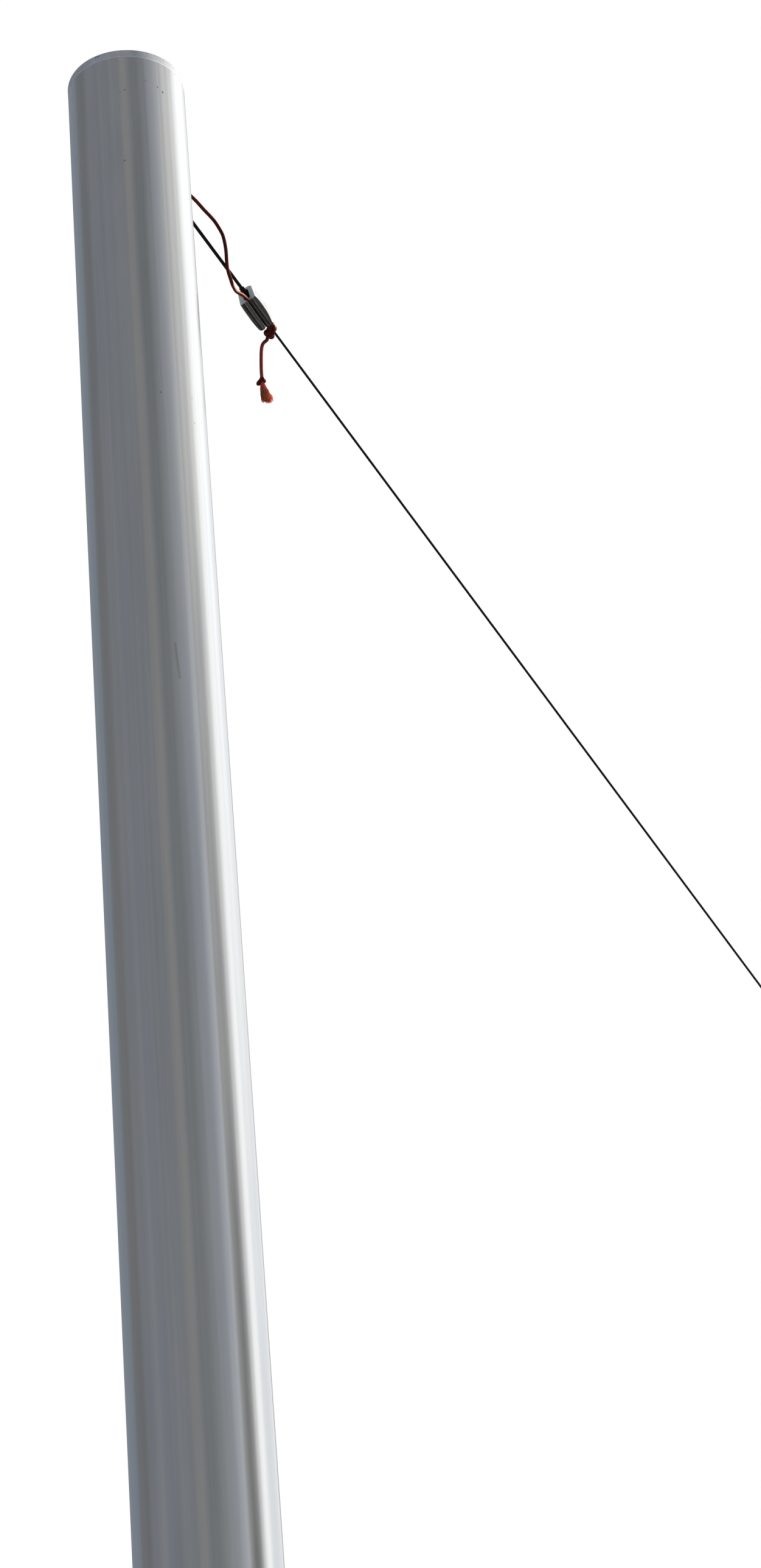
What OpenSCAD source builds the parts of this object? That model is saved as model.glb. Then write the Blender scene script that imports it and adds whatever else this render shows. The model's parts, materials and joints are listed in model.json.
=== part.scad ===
// Stayed flagpole: a plain round aluminium tube on a welded base flange, closed by a flat cap.
// One wire stay runs from a pad eye near the top to a turnbuckle and an anchor plate at the ground.
// A red braided cord leaves the pad eye, passes through the stay's clamp, is hitched round the
// wire below it and ends in a knotted, frayed tail.
// Millimetres, +Z up, the stay leads off toward +X.
// The origin is the middle of the base flange's underside, at ground level.

/* [Pole] */
// Height from the ground to the top of the cap
pole_h = 3500; // [2800:10:4500]
// Outside diameter of the pole
pole_d = 114.3; // [100:0.1:140]
// Wall of the pole
pole_wall = 4; // [2.5:0.5:8]

/* [Cap] */
// Height of the cap's rim above the pole
cap_rim = 9; // [4:0.5:15]
// Rounding of the cap's upper edge
cap_edge = 1; // [0.3:0.1:2]
// Depth of the cap's plug inside the pole
cap_plug = 32; // [15:1:60]
// Wall of the plug
cap_plug_wall = 3; // [2:0.5:6]

/* [Base] */
// Diameter of the base flange
base_d = 260; // [250:5:320]
// Thickness of the base flange
base_t = 14; // [8:1:25]
// Pitch circle of the flange's bolt holes
base_pcd = 215; // [200:1:225]
// Diameter of the flange's bolt holes
base_hole = 18; // [10:1:22]
// Drain hole under the pole
base_drain = 40; // [10:1:80]
// Leg of the weld round the pole's foot
base_weld_leg = 5; // [3:0.5:8]
// Height of the gussets
gusset_h = 70; // [40:5:140]
// Margin of the flange outside the gussets
gusset_margin = 27; // [20:1:34]
// Thickness of the gussets
gusset_t = 8; // [5:1:12]
// Square end of each gusset, and the notch that clears the weld
gusset_end = 12; // [9:1:18]

/* [Stay] */
// Where the stay's line meets the pole's axis, below the top
stay_drop = 58.7; // [50:0.1:90]
// Slope of the stay below horizontal
stay_angle = 30; // [20:1:45]
// Diameter of the stay's wire
stay_d = 2.6; // [2:0.1:4]
// Turn of the doubled wire between the pad eye and the clamp
leg_turn = 40; // [0:5:90]

/* [Pad eye] */
// Width of the saddle that lies on the pole
saddle_w = 34; // [28:1:44]
// Height of the saddle
saddle_h = 64; // [56:1:90]
// Thickness of the saddle
saddle_t = 3; // [2:0.5:5]
// Thickness of the lug
lug_t = 3; // [2:0.5:5]
// Distance from the pole's surface to the lug's holes
lug_out = 9.5; // [9:0.5:14]
// Metal round the lug's holes
lug_rim = 4.5; // [3:0.5:6]
// Hole for the stay
stay_hole = 8; // [7:0.5:10]
// Hole for the cord
cord_hole = 5; // [4:0.5:7]
// Rise of the cord's hole over the stay's hole
cord_rise = 21; // [16:1:26]
// Diameter of the pad eye's rivets
rivet_d = 4.8; // [3:0.1:6]

/* [Clamp] */
// Distance of the clamp down the stay, from the pole's axis
clamp_at = 195; // [180:1:240]
// Length of the clamp
clamp_l = 37.5; // [34:0.5:46]
// Width of the clamp across its cheeks, at its fullest
clamp_w = 19.5; // [18:0.5:26]
// Depth of the clamp from back to front
clamp_dp = 21; // [21:0.5:28]
// Width of the way through the clamp
clamp_way = 7.2; // [6.4:0.2:8]
// Slot between the cheeks
clamp_slot = 1.2; // [0.8:0.2:2.4]
// Slant of the clamp's upper end
clamp_cut = 18; // [0:1:22]
// Radius of the cheeks' bulge along the clamp
clamp_bulge = 94; // [85:1:200]
// Rounding of the cheeks' lower tips
clamp_tip_r = 4.6; // [4:0.2:7]

/* [Ground end] */
// Height of the stay's lower hole over the ground
anchor_hole_h = 48; // [40:1:70]
// Length of the anchor plate along the stay's direction
anchor_l = 140; // [120:5:180]
// Width of the anchor plate
anchor_w = 90; // [80:5:140]
// Thickness of the anchor plate
anchor_t = 10; // [6:1:16]
// Thickness of the anchor lug
anchor_lug_t = 8; // [6:1:10]
// Diameter of the anchor plate's bolt holes
anchor_hole = 11; // [7:0.5:14]
// Edge distance of the anchor plate's bolt holes
anchor_edge = 18; // [15:1:22]
// Diameter of the turnbuckle's rods
rod_d = 8; // [6:0.5:10]
// Length of the turnbuckle's body
body_l = 110; // [90:5:150]
// Diameter of the clevis pin
pin_d = 6; // [5:0.5:8]
// Radius of the thimble's groove
thimble_r = 8; // [7:0.5:11]

/* [Cord] */
// Diameter of the braided cord
cord_d = 3.6; // [2.6:0.1:4]

/* [Hidden] */
$fn = 64;

// Clearances: a curved seat, a pin in its hole, a sliding plug and a wire in its sleeve
seat_gap = 0.1;
pin_gap = 0.25;
plug_gap = 0.3;
wire_gap = 0.06;

pole_r = pole_d / 2;
cap_z = pole_h - cap_rim;
gussets = 4;
base_holes = 4;

// The stay's frame: t runs down the stay from the pole's axis, a runs along Y, b is square to both
stay_z = pole_h - stay_drop;
function on_stay(t, a = 0, b = 0) = [
  t * cos(stay_angle) + b * sin(stay_angle),
  a,
  stay_z - t * sin(stay_angle) + b * cos(stay_angle)
];
module place_on_stay(t, b = 0) {
  translate(on_stay(t, 0, b))
    rotate([0, 90 + stay_angle, 0])
      children();
}

// Pad eye: both holes stand one above the other
lug_x = pole_r + lug_out;
stay_hole_z = stay_z - lug_x * tan(stay_angle);
cord_hole_z = stay_hole_z + cord_rise;
saddle_z = (stay_hole_z + cord_hole_z) / 2;
saddle_in = pole_r + seat_gap;
saddle_out = saddle_in + saddle_t;
rivet_head = 1.9 * rivet_d;
rivet_crown = 0.4 * rivet_d;
rivet_y = saddle_w / 2 - rivet_head / 2 - 1.5;
rivet_rise = saddle_h / 2 - rivet_head / 2 - 1.5;

// The wire's bend through the lug, and the half distance of its two strands
strand = stay_d / 2 + wire_gap;
bend_r = (lug_t + stay_d) / 2 + 2 * wire_gap;
bend_at = lug_x / cos(stay_angle) + stay_hole / 2 - stay_d / 2 - wire_gap + bend_r;
lug_edge = lug_x / cos(stay_angle) + stay_hole / 2 + lug_rim + wire_gap;
sleeve_l = 7;
sleeve_at = lug_edge + 4.5;
sleeve_wall = 1;
collar_l = 5;
collar_wall = 0.8;
collar_rise = 2.4;
function on_leg(t, turn, side) = on_stay(t, side * strand * cos(turn), side * strand * sin(turn));

// Clamp: its own axis is skewed to the wire, so the wire crosses its way at a slant
clamp_slope = 27.7;
clamp_yaw = 2.7;
clamp_roll = -16;
wire_in = [-4.5, 0.4];

// Ground end, measured up the stay from the anchor's hole
anchor_at = (stay_z - strand * cos(stay_angle) - anchor_hole_h) / sin(stay_angle);
anchor_x = anchor_at * cos(stay_angle) - strand * sin(stay_angle);
jaw_gap = anchor_lug_t + 1;
jaw_ear = 4;
jaw_w = 14;
jaw_l = 24;
nut_af = 1.6 * rod_d;
nut_t = 0.8 * rod_d;
nut_gap = 0.3;
body_at = 62;
boss_l = 15;
boss_d = 2 * rod_d;
eye_at = body_at + body_l + 26;
eye_rod = 5;
eye_r = 9;
thimble_in = thimble_r - 1.6;
thimble_at = eye_at + eye_r + thimble_in - eye_rod / 2 - 0.6;
loop_r = thimble_r + strand;
loop_tip = 24;
grip_at = thimble_at + loop_tip + 4;
grip_l = 18;

// The stay's wire from its cut end in the clamp, round the lug, down the stay and round the thimble
bend_steps = 10;
loop_steps = 18;
loop_lean = asin(loop_r / norm([loop_tip + 4, strand])) - atan(strand / (loop_tip + 4));
wire_path = concat(
  [
    on_leg(clamp_at + 0.45 * clamp_l, leg_turn, 1),
    on_leg(sleeve_at + sleeve_l, leg_turn, 1),
    on_leg(sleeve_at + sleeve_l / 2, leg_turn / 2, 1),
    on_leg(sleeve_at, 0, 1),
    on_stay(lug_edge, bend_r)
  ],
  [for (i = [0:bend_steps])
    let (w = 90 - 180 * i / bend_steps)
      on_stay(bend_at - bend_r * cos(w), bend_r * sin(w), 0)
  ],
  [
    on_stay(lug_edge, -bend_r),
    on_leg(sleeve_at, 0, -1),
    on_leg(sleeve_at + sleeve_l / 2, leg_turn / 2, -1),
    on_leg(sleeve_at + sleeve_l, leg_turn, -1),
    on_leg(clamp_at + 0.15 * clamp_l, leg_turn, -1),
    on_stay(clamp_at + 0.5 * clamp_l),
    on_stay(anchor_at - grip_at - grip_l - 4),
    on_stay(anchor_at - grip_at)
  ],
  [for (i = [0:loop_steps])
    let (w = (90 + loop_lean) * (1 - 2 * i / loop_steps))
      on_stay(anchor_at - thimble_at + loop_r * cos(w), 0, loop_r * sin(w) - strand)
  ],
  [
    on_stay(anchor_at - grip_at, 0, -2 * strand),
    on_stay(anchor_at - grip_at - grip_l - 4, 0, -2 * strand)
  ]
);

// The cord's route: from the pad eye over in an arch, down across the wire and through the clamp
cord_route = [
  [84.8, 1.1, 3424.1], [88, 1, 3423.8], [92.6, 0.8, 3422.8], [99.4, 0.4, 3420.6],
  [105, 0.2, 3418.4], [110.5, 0, 3416], [119.5, -0.4, 3412.7], [126.5, -0.8, 3409.1],
  [132.8, -1.5, 3402.4], [135.6, -2.1, 3397.3], [136.6, -2.7, 3391.4], [137, -3.2, 3385.3],
  [137, -3.7, 3378.8], [136.6, -4.1, 3372.3], [136.2, -4.3, 3365.9], [136.1, -4.4, 3359.7],
  [136.6, -4.5, 3353.8], [137.9, -4.6, 3348.4], [140.6, -4.1, 3344.2], [144.6, -2.5, 3341.2],
  [149.4, -0.9, 3339.4], [153.8, 0.1, 3338.4], [157, -0.5, 3337.6], [160.1, -1.8, 3336.7],
  [162.9, -2.7, 3335.6], [165.7, -3, 3334.6], [168.4, -2.7, 3333.6], [173.7, -1.9, 3331.2],
  [186.1, -1, 3324.8], [194.1, -0.5, 3320.8], [197.9, -0.5, 3320.3], [200.3, -0.8, 3320.8],
  [201.8, -0.9, 3321.3]
];
// The tail below the hitch
tail_route = [
  [207, 5, 3313.7], [205.6, 5.6, 3308.9], [203.8, 7.9, 3306.2], [202.7, 9.3, 3303.4],
  [202, 10.2, 3299.4], [201.6, 10.9, 3293.4], [201.2, 11.4, 3285], [200.9, 11.8, 3276.2],
  [200.8, 12, 3270], [201, 12.2, 3263.8]
];
// The hitch: where its turns sit on the stay, and its lump beside them as t, a and b
hitch_at = 239.8;
hitch_lump = [2.1, 4.4, -2.5];
hitch_lump_r = 4.6;
// The tail's knot with one lobe, and the tassel's lean from the vertical
tail_knot_at = [201.1, 12.3, 3260];
tail_knot_r = 1.05 * cord_d;
tail_lobe = [-1.6, 3.9, -1.8];
tassel_l = 22.6;
tassel_lean = 8;
tassel_turn = -52.5;

function unit(v) = v / norm(v);
function heading(p, i) =
  i == 0 ? unit(p[1] - p[0])
  : i == len(p) - 1 ? unit(p[i] - p[i - 1])
  : unit(unit(p[i] - p[i - 1]) + unit(p[i + 1] - p[i]));

// A round tube swept along points; side is a direction that no stretch runs along
module swept(p, d, sides, side) {
  rings = len(p);
  points = [
    for (i = [0:rings - 1])
      let (t = heading(p, i), u = unit(cross(t, side)), v = cross(t, u))
        for (k = [0:sides - 1])
          p[i] + d / 2 * (cos(360 * k / sides) * u + sin(360 * k / sides) * v)
  ];
  first = [[for (k = [0:sides - 1]) k]];
  last = [[for (k = [sides - 1:-1:0]) (rings - 1) * sides + k]];
  skin = [
    for (i = [0:rings - 2])
      for (k = [0:sides - 1])
        let (j = (k + 1) % sides, a = i * sides, b = a + sides)
          for (f = [[a + k, b + k, b + j], [a + k, b + j, a + j]]) f
  ];
  polyhedron(points = points, faces = concat(first, skin, last), convexity = 8);
}

module ring(r_out, r_in, h) {
  difference() {
    cylinder(r = r_out, h = h);
    translate([0, 0, -1])
      cylinder(r = r_in, h = h + 2);
  }
}

// A flat plate with round corners, centred on the origin
module round_plate(l, w, r, h) {
  linear_extrude(h) {
    square([l - 2 * r, w], center = true);
    square([l, w - 2 * r], center = true);
    for (x = [-1, 1], y = [-1, 1])
      translate([x * (l / 2 - r), y * (w / 2 - r)])
        circle(r);
  }
}

// A slot outline: round ends of radius r at x = a and x = b
module slot_outline(a, b, r) {
  translate([a, -r])
    square([b - a, 2 * r]);
  for (x = [a, b])
    translate([x, 0])
      circle(r);
}

module at_rivets() {
  for (y = [-1, 1], z = [-1, 1])
    translate([0, 0, saddle_z + z * rivet_rise])
      rotate([0, 0, asin(y * rivet_y / saddle_out)])
        rotate([0, 90, 0])
          children();
}

module pole_tube() {
  color([0.78, 0.79, 0.8])
    difference() {
      translate([0, 0, base_t])
        ring(pole_r, pole_r - pole_wall, cap_z - base_t);
      at_rivets()
        translate([0, 0, pole_r / 2])
          cylinder(d = rivet_d + 2 * pin_gap, h = pole_r);
    }
}

module pole_cap() {
  plug_r = pole_r - pole_wall - plug_gap;
  color([0.72, 0.72, 0.73])
    translate([0, 0, cap_z])
      rotate_extrude($fn = 128)
        difference() {
          union() {
            square([pole_r - cap_edge, cap_rim]);
            square([pole_r, cap_rim - cap_edge]);
            translate([pole_r - cap_edge, cap_rim - cap_edge])
              intersection() {
                circle(cap_edge);
                square(cap_edge);
              }
            translate([plug_r - cap_plug_wall, -cap_plug])
              square([cap_plug_wall, cap_plug]);
          }
        }
}

module base_flange() {
  color([0.62, 0.64, 0.66])
    difference() {
      cylinder(d = base_d, h = base_t);
      translate([0, 0, -1])
        cylinder(d = base_drain, h = base_t + 2);
      for (i = [0:base_holes - 1])
        rotate([0, 0, 45 + 360 * i / base_holes])
          translate([base_pcd / 2, 0, -1])
            cylinder(d = base_hole, h = base_t + 2);
    }
}

module base_weld() {
  in = pole_r + seat_gap;
  color([0.6, 0.6, 0.62])
    translate([0, 0, base_t])
      rotate_extrude($fn = 128)
        polygon([[in, 0], [in + base_weld_leg, 0], [in, base_weld_leg]]);
}

module gusset(i) {
  in = pole_r + seat_gap;
  out = base_d / 2 - gusset_margin;
  notch = base_weld_leg + 3;
  color([0.6, 0.62, 0.64])
    rotate([0, 0, 360 * i / gussets])
      translate([0, gusset_t / 2, base_t])
        rotate([90, 0, 0])
          linear_extrude(gusset_t)
            polygon([
              [in + notch, 0], [out, 0], [out, gusset_end], [in + gusset_end, gusset_h],
              [in, gusset_h], [in, notch]
            ]);
}

module pad_saddle() {
  color([0.55, 0.56, 0.58])
    difference() {
      intersection() {
        translate([0, 0, saddle_z - saddle_h / 2])
          ring(saddle_out, saddle_in, saddle_h);
        translate([0, 0, saddle_z])
          rotate([0, 90, 0])
            round_plate(saddle_h, saddle_w, 6, pole_r + 2 * saddle_t);
      }
      at_rivets()
        translate([0, 0, pole_r / 2])
          cylinder(d = rivet_d + 2 * pin_gap, h = pole_r);
    }
}

module pad_lug() {
  in = saddle_out + seat_gap;
  rim = stay_hole / 2 + lug_rim;
  color([0.55, 0.56, 0.58])
    translate([0, lug_t / 2, 0])
      rotate([90, 0, 0])
        linear_extrude(lug_t)
          difference() {
            intersection() {
              union() {
                translate([in, stay_hole_z - rim])
                  square([lug_x - in, cord_rise + 2 * rim]);
                translate([lug_x, stay_hole_z])
                  square([rim, cord_rise]);
                for (z = [stay_hole_z, cord_hole_z])
                  translate([lug_x, z])
                    circle(rim);
              }
              translate([in, stay_hole_z - rim])
                square([lug_x, cord_rise + 2 * rim]);
            }
            translate([lug_x, stay_hole_z])
              circle(d = stay_hole);
            translate([lug_x, cord_hole_z])
              circle(d = cord_hole);
          }
}

module pad_rivets() {
  crown_r = (pow(rivet_head / 2, 2) + pow(rivet_crown, 2)) / (2 * rivet_crown);
  inside = pole_r - pole_wall - 2;
  color([0.7, 0.7, 0.72])
    at_rivets() {
      translate([0, 0, inside])
        cylinder(d = rivet_d, h = saddle_out + seat_gap - inside);
      translate([0, 0, inside - 1])
        cylinder(d = 1.4 * rivet_d, h = 2.2);
      translate([0, 0, saddle_out + seat_gap])
        intersection() {
          cylinder(d = rivet_head, h = rivet_crown);
          translate([0, 0, rivet_crown - crown_r])
            sphere(crown_r);
        }
    }
}

module stay_wire() {
  color([0.1, 0.1, 0.11])
    swept(wire_path, stay_d, 12, on_stay(0, 1, 1) - on_stay(0));
}

module upper_ferrule() {
  bore = strand + stay_d / 2 + wire_gap;
  color([0.5, 0.5, 0.52])
    place_on_stay(sleeve_at)
      ring(bore + sleeve_wall, bore, sleeve_l);
}

// A flat oval sleeve round both strands, just above the clamp's mouth
module stay_collar() {
  bore = stay_d / 2 + wire_gap;
  color([0.08, 0.08, 0.08])
    place_on_stay(clamp_at - collar_l - collar_rise)
      rotate([0, 0, 90 + leg_turn])
        linear_extrude(collar_l)
          difference() {
            slot_outline(-strand, strand, bore + collar_wall);
            slot_outline(-strand, strand, bore);
          }
}

// The clamp's own frame: z along the clamp, x toward its slotted front, y across its cheeks
module place_clamp() {
  translate(on_stay(clamp_at))
    rotate([0, 90 + clamp_slope, clamp_yaw])
      rotate([0, 0, clamp_roll])
        translate([-wire_in[0], -wire_in[1], 0])
          children();
}

// Section of the clamp: a rounded back, two bulged cheeks and a way that opens through the slot
module clamp_section() {
  half_w = clamp_w / 2;
  half_d = clamp_dp / 2;
  back_r = 6.5;
  cheek_r = 5;
  way_r = clamp_way / 2;
  difference() {
    union() {
      translate([-half_d + back_r, -half_w])
        square([clamp_dp - back_r - cheek_r, clamp_w]);
      translate([-half_d, -half_w + back_r])
        square([back_r, clamp_w - 2 * back_r]);
      for (y = [-1, 1]) {
        translate([-half_d + back_r, y * (half_w - back_r)])
          circle(back_r);
        translate([half_d - cheek_r, y * (half_w - cheek_r)])
          circle(cheek_r);
      }
    }
    slot_outline(-half_d + 2.2 + way_r, half_d - 3 - way_r, way_r);
    translate([0, -clamp_slot / 2])
      square([half_d + 1, clamp_slot]);
    // The flute along each cheek
    for (y = [-1, 1])
      translate([half_d + 3.4, y * (half_w - cheek_r)])
        circle(4.2);
  }
}

// Side view of the clamp: two bulged cheeks with rounded lower tips
module clamp_side() {
  fullest = 0.43 * clamp_l;
  intersection() {
    translate([clamp_w / 2 - clamp_bulge, fullest])
      circle(clamp_bulge, $fn = 256);
    translate([clamp_bulge - clamp_w / 2, fullest])
      circle(clamp_bulge, $fn = 256);
    union() {
      translate([-clamp_w / 2, -clamp_w])
        square([clamp_w, clamp_w + clamp_l - clamp_tip_r]);
      for (y = [-1, 1])
        translate([0.2 * y * clamp_w, clamp_l - clamp_tip_r])
          circle(clamp_tip_r);
    }
  }
}

module stay_clamp() {
  over = 4;
  color([0.66, 0.66, 0.68])
    place_clamp()
      difference() {
        intersection() {
          translate([0, 0, -over])
            linear_extrude(clamp_l + over)
              clamp_section();
          rotate([90, 0, 90])
            translate([0, 0, -clamp_dp])
              linear_extrude(2 * clamp_dp)
                clamp_side();
        }
        // The slanted upper end
        rotate([0, -clamp_cut, 0])
          translate([-clamp_dp, -clamp_w, -2 * clamp_dp])
            cube([2 * clamp_dp, 2 * clamp_w, 2 * clamp_dp]);
      }
}

module lower_ferrule() {
  bore = stay_d / 2 + wire_gap;
  color([0.5, 0.5, 0.52])
    place_on_stay(anchor_at - grip_at - grip_l, -strand)
      linear_extrude(grip_l)
        difference() {
          slot_outline(-strand, strand, bore + 1.5);
          slot_outline(-strand, strand, bore);
        }
}

// A bent channel round the loop, open toward the wire
module lower_thimble() {
  groove = stay_d / 2 + 2 * wire_gap;
  flange = groove + 0.9;
  color([0.6, 0.61, 0.63])
    place_on_stay(anchor_at - thimble_at, -strand)
      rotate([90, 0, 0])
        rotate([0, 0, -loop_lean])
          rotate_extrude(angle = 180 + 2 * loop_lean, $fn = 96)
            difference() {
              translate([thimble_in, -flange])
                square([loop_r + 0.4 - thimble_in, 2 * flange]);
              translate([loop_r, 0])
                circle(groove);
              translate([loop_r, -groove])
                square([groove, 2 * groove]);
            }
}

module turnbuckle_eye() {
  color([0.6, 0.61, 0.63])
    place_on_stay(anchor_at - eye_at, -strand)
      union() {
        rotate([0, 90, 0])
          rotate_extrude()
            translate([eye_r, 0])
              circle(d = eye_rod);
        translate([0, 0, eye_r])
          cylinder(d = rod_d, h = eye_at - body_at - body_l + boss_l + 12 - eye_r);
      }
}

module lock_nut(at) {
  color([0.66, 0.66, 0.68])
    place_on_stay(anchor_at - at, -strand)
      difference() {
        cylinder(d = nut_af / cos(30), h = nut_t, $fn = 6);
        translate([0, 0, -1])
          cylinder(d = rod_d + 2 * seat_gap, h = nut_t + 2);
      }
}

module turnbuckle_body() {
  bar = 6;
  inner = boss_d / 2 + 1.5;
  color([0.58, 0.59, 0.61])
    place_on_stay(anchor_at - body_at - body_l, -strand)
      difference() {
        union() {
          translate([0, 0, body_l / 2])
            rotate([90, 0, 0])
              translate([0, 0, -bar / 2])
                round_plate(2 * (inner + bar), body_l, 10, bar);
          for (z = [0, body_l - boss_l])
            translate([0, 0, z])
              cylinder(d = boss_d, h = boss_l);
        }
        translate([0, 0, body_l / 2])
          rotate([90, 0, 0])
            translate([0, 0, -boss_d])
              round_plate(2 * inner, body_l - 2 * boss_l, 6, 2 * boss_d);
        translate([0, 0, -1])
          cylinder(d = rod_d + 2 * seat_gap, h = body_l + 2);
      }
}

module turnbuckle_jaw() {
  wide = jaw_gap + 2 * jaw_ear;
  rod_l = body_at + boss_l + 12 - jaw_l;
  color([0.6, 0.61, 0.63])
    place_on_stay(anchor_at, -strand)
      rotate([180, 0, 0])
        difference() {
          union() {
            rotate([90, 0, 0])
              translate([0, 0, -wide / 2])
                linear_extrude(wide) {
                  circle(d = jaw_w);
                  translate([-jaw_w / 2, 0])
                    square([jaw_w, jaw_l]);
                }
            translate([0, 0, jaw_l])
              cylinder(d = rod_d, h = rod_l);
          }
          translate([-jaw_w, -jaw_gap / 2, -jaw_w])
            cube([2 * jaw_w, jaw_gap, jaw_w + jaw_l - 6]);
          rotate([90, 0, 0])
            translate([0, 0, -wide])
              cylinder(d = pin_d + 2 * seat_gap, h = 2 * wide);
        }
}

module jaw_pin() {
  wide = jaw_gap + 2 * jaw_ear;
  color([0.7, 0.7, 0.72])
    place_on_stay(anchor_at, -strand)
      rotate([90, 0, 0])
        difference() {
          union() {
            translate([0, 0, -wide / 2 - 7])
              cylinder(d = pin_d, h = wide + 7 + seat_gap);
            translate([0, 0, wide / 2 + seat_gap])
              cylinder(d = 1.6 * pin_d, h = 2.5);
          }
          translate([0, 0, -wide / 2 - 3.5])
            rotate([0, 90, 0])
              cylinder(d = 2.2, h = 2 * pin_d, center = true);
        }
}

module split_pin() {
  wide = jaw_gap + 2 * jaw_ear;
  color([0.7, 0.7, 0.72])
    place_on_stay(anchor_at, -strand)
      rotate([90, 0, 0])
        translate([0, 0, -wide / 2 - 3.5])
          rotate([0, 90, 0]) {
            cylinder(d = 2, h = 12, center = true);
            translate([0, 0, -8])
              rotate([90, 0, 0])
                rotate_extrude()
                  translate([2, 0])
                    circle(d = 1.6, $fn = 24);
          }
}

module anchor_lug() {
  reach = 12;
  foot = 30;
  hole = [anchor_x, anchor_hole_h];
  color([0.62, 0.64, 0.66])
    translate([0, anchor_lug_t / 2, 0])
      rotate([90, 0, 0])
        linear_extrude(anchor_lug_t)
          difference() {
            union() {
              translate([hole[0], hole[1]])
                circle(reach);
              translate([hole[0] - reach, anchor_t])
                square([2 * reach, hole[1] - anchor_t]);
              polygon([
                [hole[0] - reach, anchor_t], [hole[0] + foot, anchor_t],
                [hole[0] + reach, hole[1]], [hole[0] - reach, hole[1]]
              ]);
            }
            translate([hole[0], hole[1]])
              circle(d = pin_d + 2 * seat_gap);
          }
}

module anchor_plate() {
  color([0.62, 0.64, 0.66])
    translate([anchor_x, 0, 0])
      difference() {
        round_plate(anchor_l, anchor_w, 8, anchor_t);
        for (x = [-1, 1], y = [-1, 1])
          translate([x * (anchor_l / 2 - anchor_edge), y * (anchor_w / 2 - anchor_edge), -1])
            cylinder(d = anchor_hole, h = anchor_t + 2);
      }
}

// A loop of the cord through the lug's upper hole, closed by a small knot
module cord_loop() {
  loop = 3 * cord_d / 2;
  knot_r = 0.95 * cord_d;
  color([0.45, 0.15, 0.12])
    translate([lug_x + 0.4 + loop, 0, cord_hole_z]) {
      rotate_extrude($fn = 32)
        translate([loop, 0])
          circle(d = cord_d, $fn = 24);
      translate([loop + knot_r, 0.6, 0.3])
        sphere(knot_r, $fn = 24);
    }
}

module cord_run() {
  color([0.5, 0.14, 0.12])
    swept(cord_route, cord_d, 8, [0.2, 1, 0.1]);
}

// Three turns of the cord round the wire, and the crossing that locks them
module cord_hitch() {
  turn_r = stay_d / 2 + wire_gap + cord_d / 2;
  color([0.45, 0.12, 0.11]) {
    place_on_stay(hitch_at)
      rotate_extrude($fn = 32)
        for (i = [-1:1])
          translate([turn_r, i * 0.9 * cord_d])
            circle(d = cord_d, $fn = 24);
    translate(on_stay(hitch_at + hitch_lump[0], hitch_lump[1], hitch_lump[2]))
      sphere(hitch_lump_r, $fn = 24);
  }
}

module cord_tail() {
  color([0.5, 0.14, 0.12])
    swept(tail_route, cord_d, 8, [0.1, 1, 0.1]);
}

module tail_knot() {
  color([0.45, 0.12, 0.11])
    translate(tail_knot_at) {
      sphere(tail_knot_r, $fn = 24);
      translate(tail_lobe)
        sphere(2 / 3 * cord_d, $fn = 24);
    }
}

module tassel() {
  color([0.62, 0.22, 0.12])
    translate(tail_knot_at)
      rotate([0, 180 - tassel_lean, tassel_turn])
        translate([0, 0, tail_knot_r + wire_gap])
          cylinder(r1 = cord_d / 2, r2 = 6, h = tassel_l, $fn = 32);
}

pole_tube();
pole_cap();
base_flange();
base_weld();
gusset(0);  // gusset_1
gusset(1);  // gusset_2
gusset(2);  // gusset_3
gusset(3);  // gusset_4
pad_saddle();
pad_lug();
pad_rivets();
stay_wire();
upper_ferrule();
stay_collar();
stay_clamp();
lower_ferrule();
lower_thimble();
turnbuckle_eye();
lock_nut(body_at + body_l + nut_t + nut_gap);  // upper_lock_nut
turnbuckle_body();
lock_nut(body_at - nut_gap);  // lower_lock_nut
turnbuckle_jaw();
jaw_pin();
split_pin();
anchor_lug();
anchor_plate();
cord_loop();
cord_run();
cord_hitch();
cord_tail();
tail_knot();
tassel();
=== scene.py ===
import json
import math

import bmesh
import bpy
import numpy as np
from mathutils import Matrix, Vector


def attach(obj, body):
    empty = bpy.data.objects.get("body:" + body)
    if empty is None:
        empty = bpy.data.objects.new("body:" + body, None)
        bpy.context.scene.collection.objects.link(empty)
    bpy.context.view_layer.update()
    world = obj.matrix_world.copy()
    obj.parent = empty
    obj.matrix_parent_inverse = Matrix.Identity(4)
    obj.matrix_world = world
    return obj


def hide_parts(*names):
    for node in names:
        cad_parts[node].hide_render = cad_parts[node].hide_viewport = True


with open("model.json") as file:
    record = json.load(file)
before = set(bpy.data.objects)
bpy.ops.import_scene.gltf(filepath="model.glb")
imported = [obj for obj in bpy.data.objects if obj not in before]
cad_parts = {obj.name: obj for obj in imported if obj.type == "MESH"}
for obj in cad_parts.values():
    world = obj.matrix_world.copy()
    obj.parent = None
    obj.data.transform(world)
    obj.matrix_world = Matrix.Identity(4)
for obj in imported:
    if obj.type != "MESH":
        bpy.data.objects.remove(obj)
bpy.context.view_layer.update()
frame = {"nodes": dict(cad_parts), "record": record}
nodes = frame["nodes"]
MM = 0.001

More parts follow.
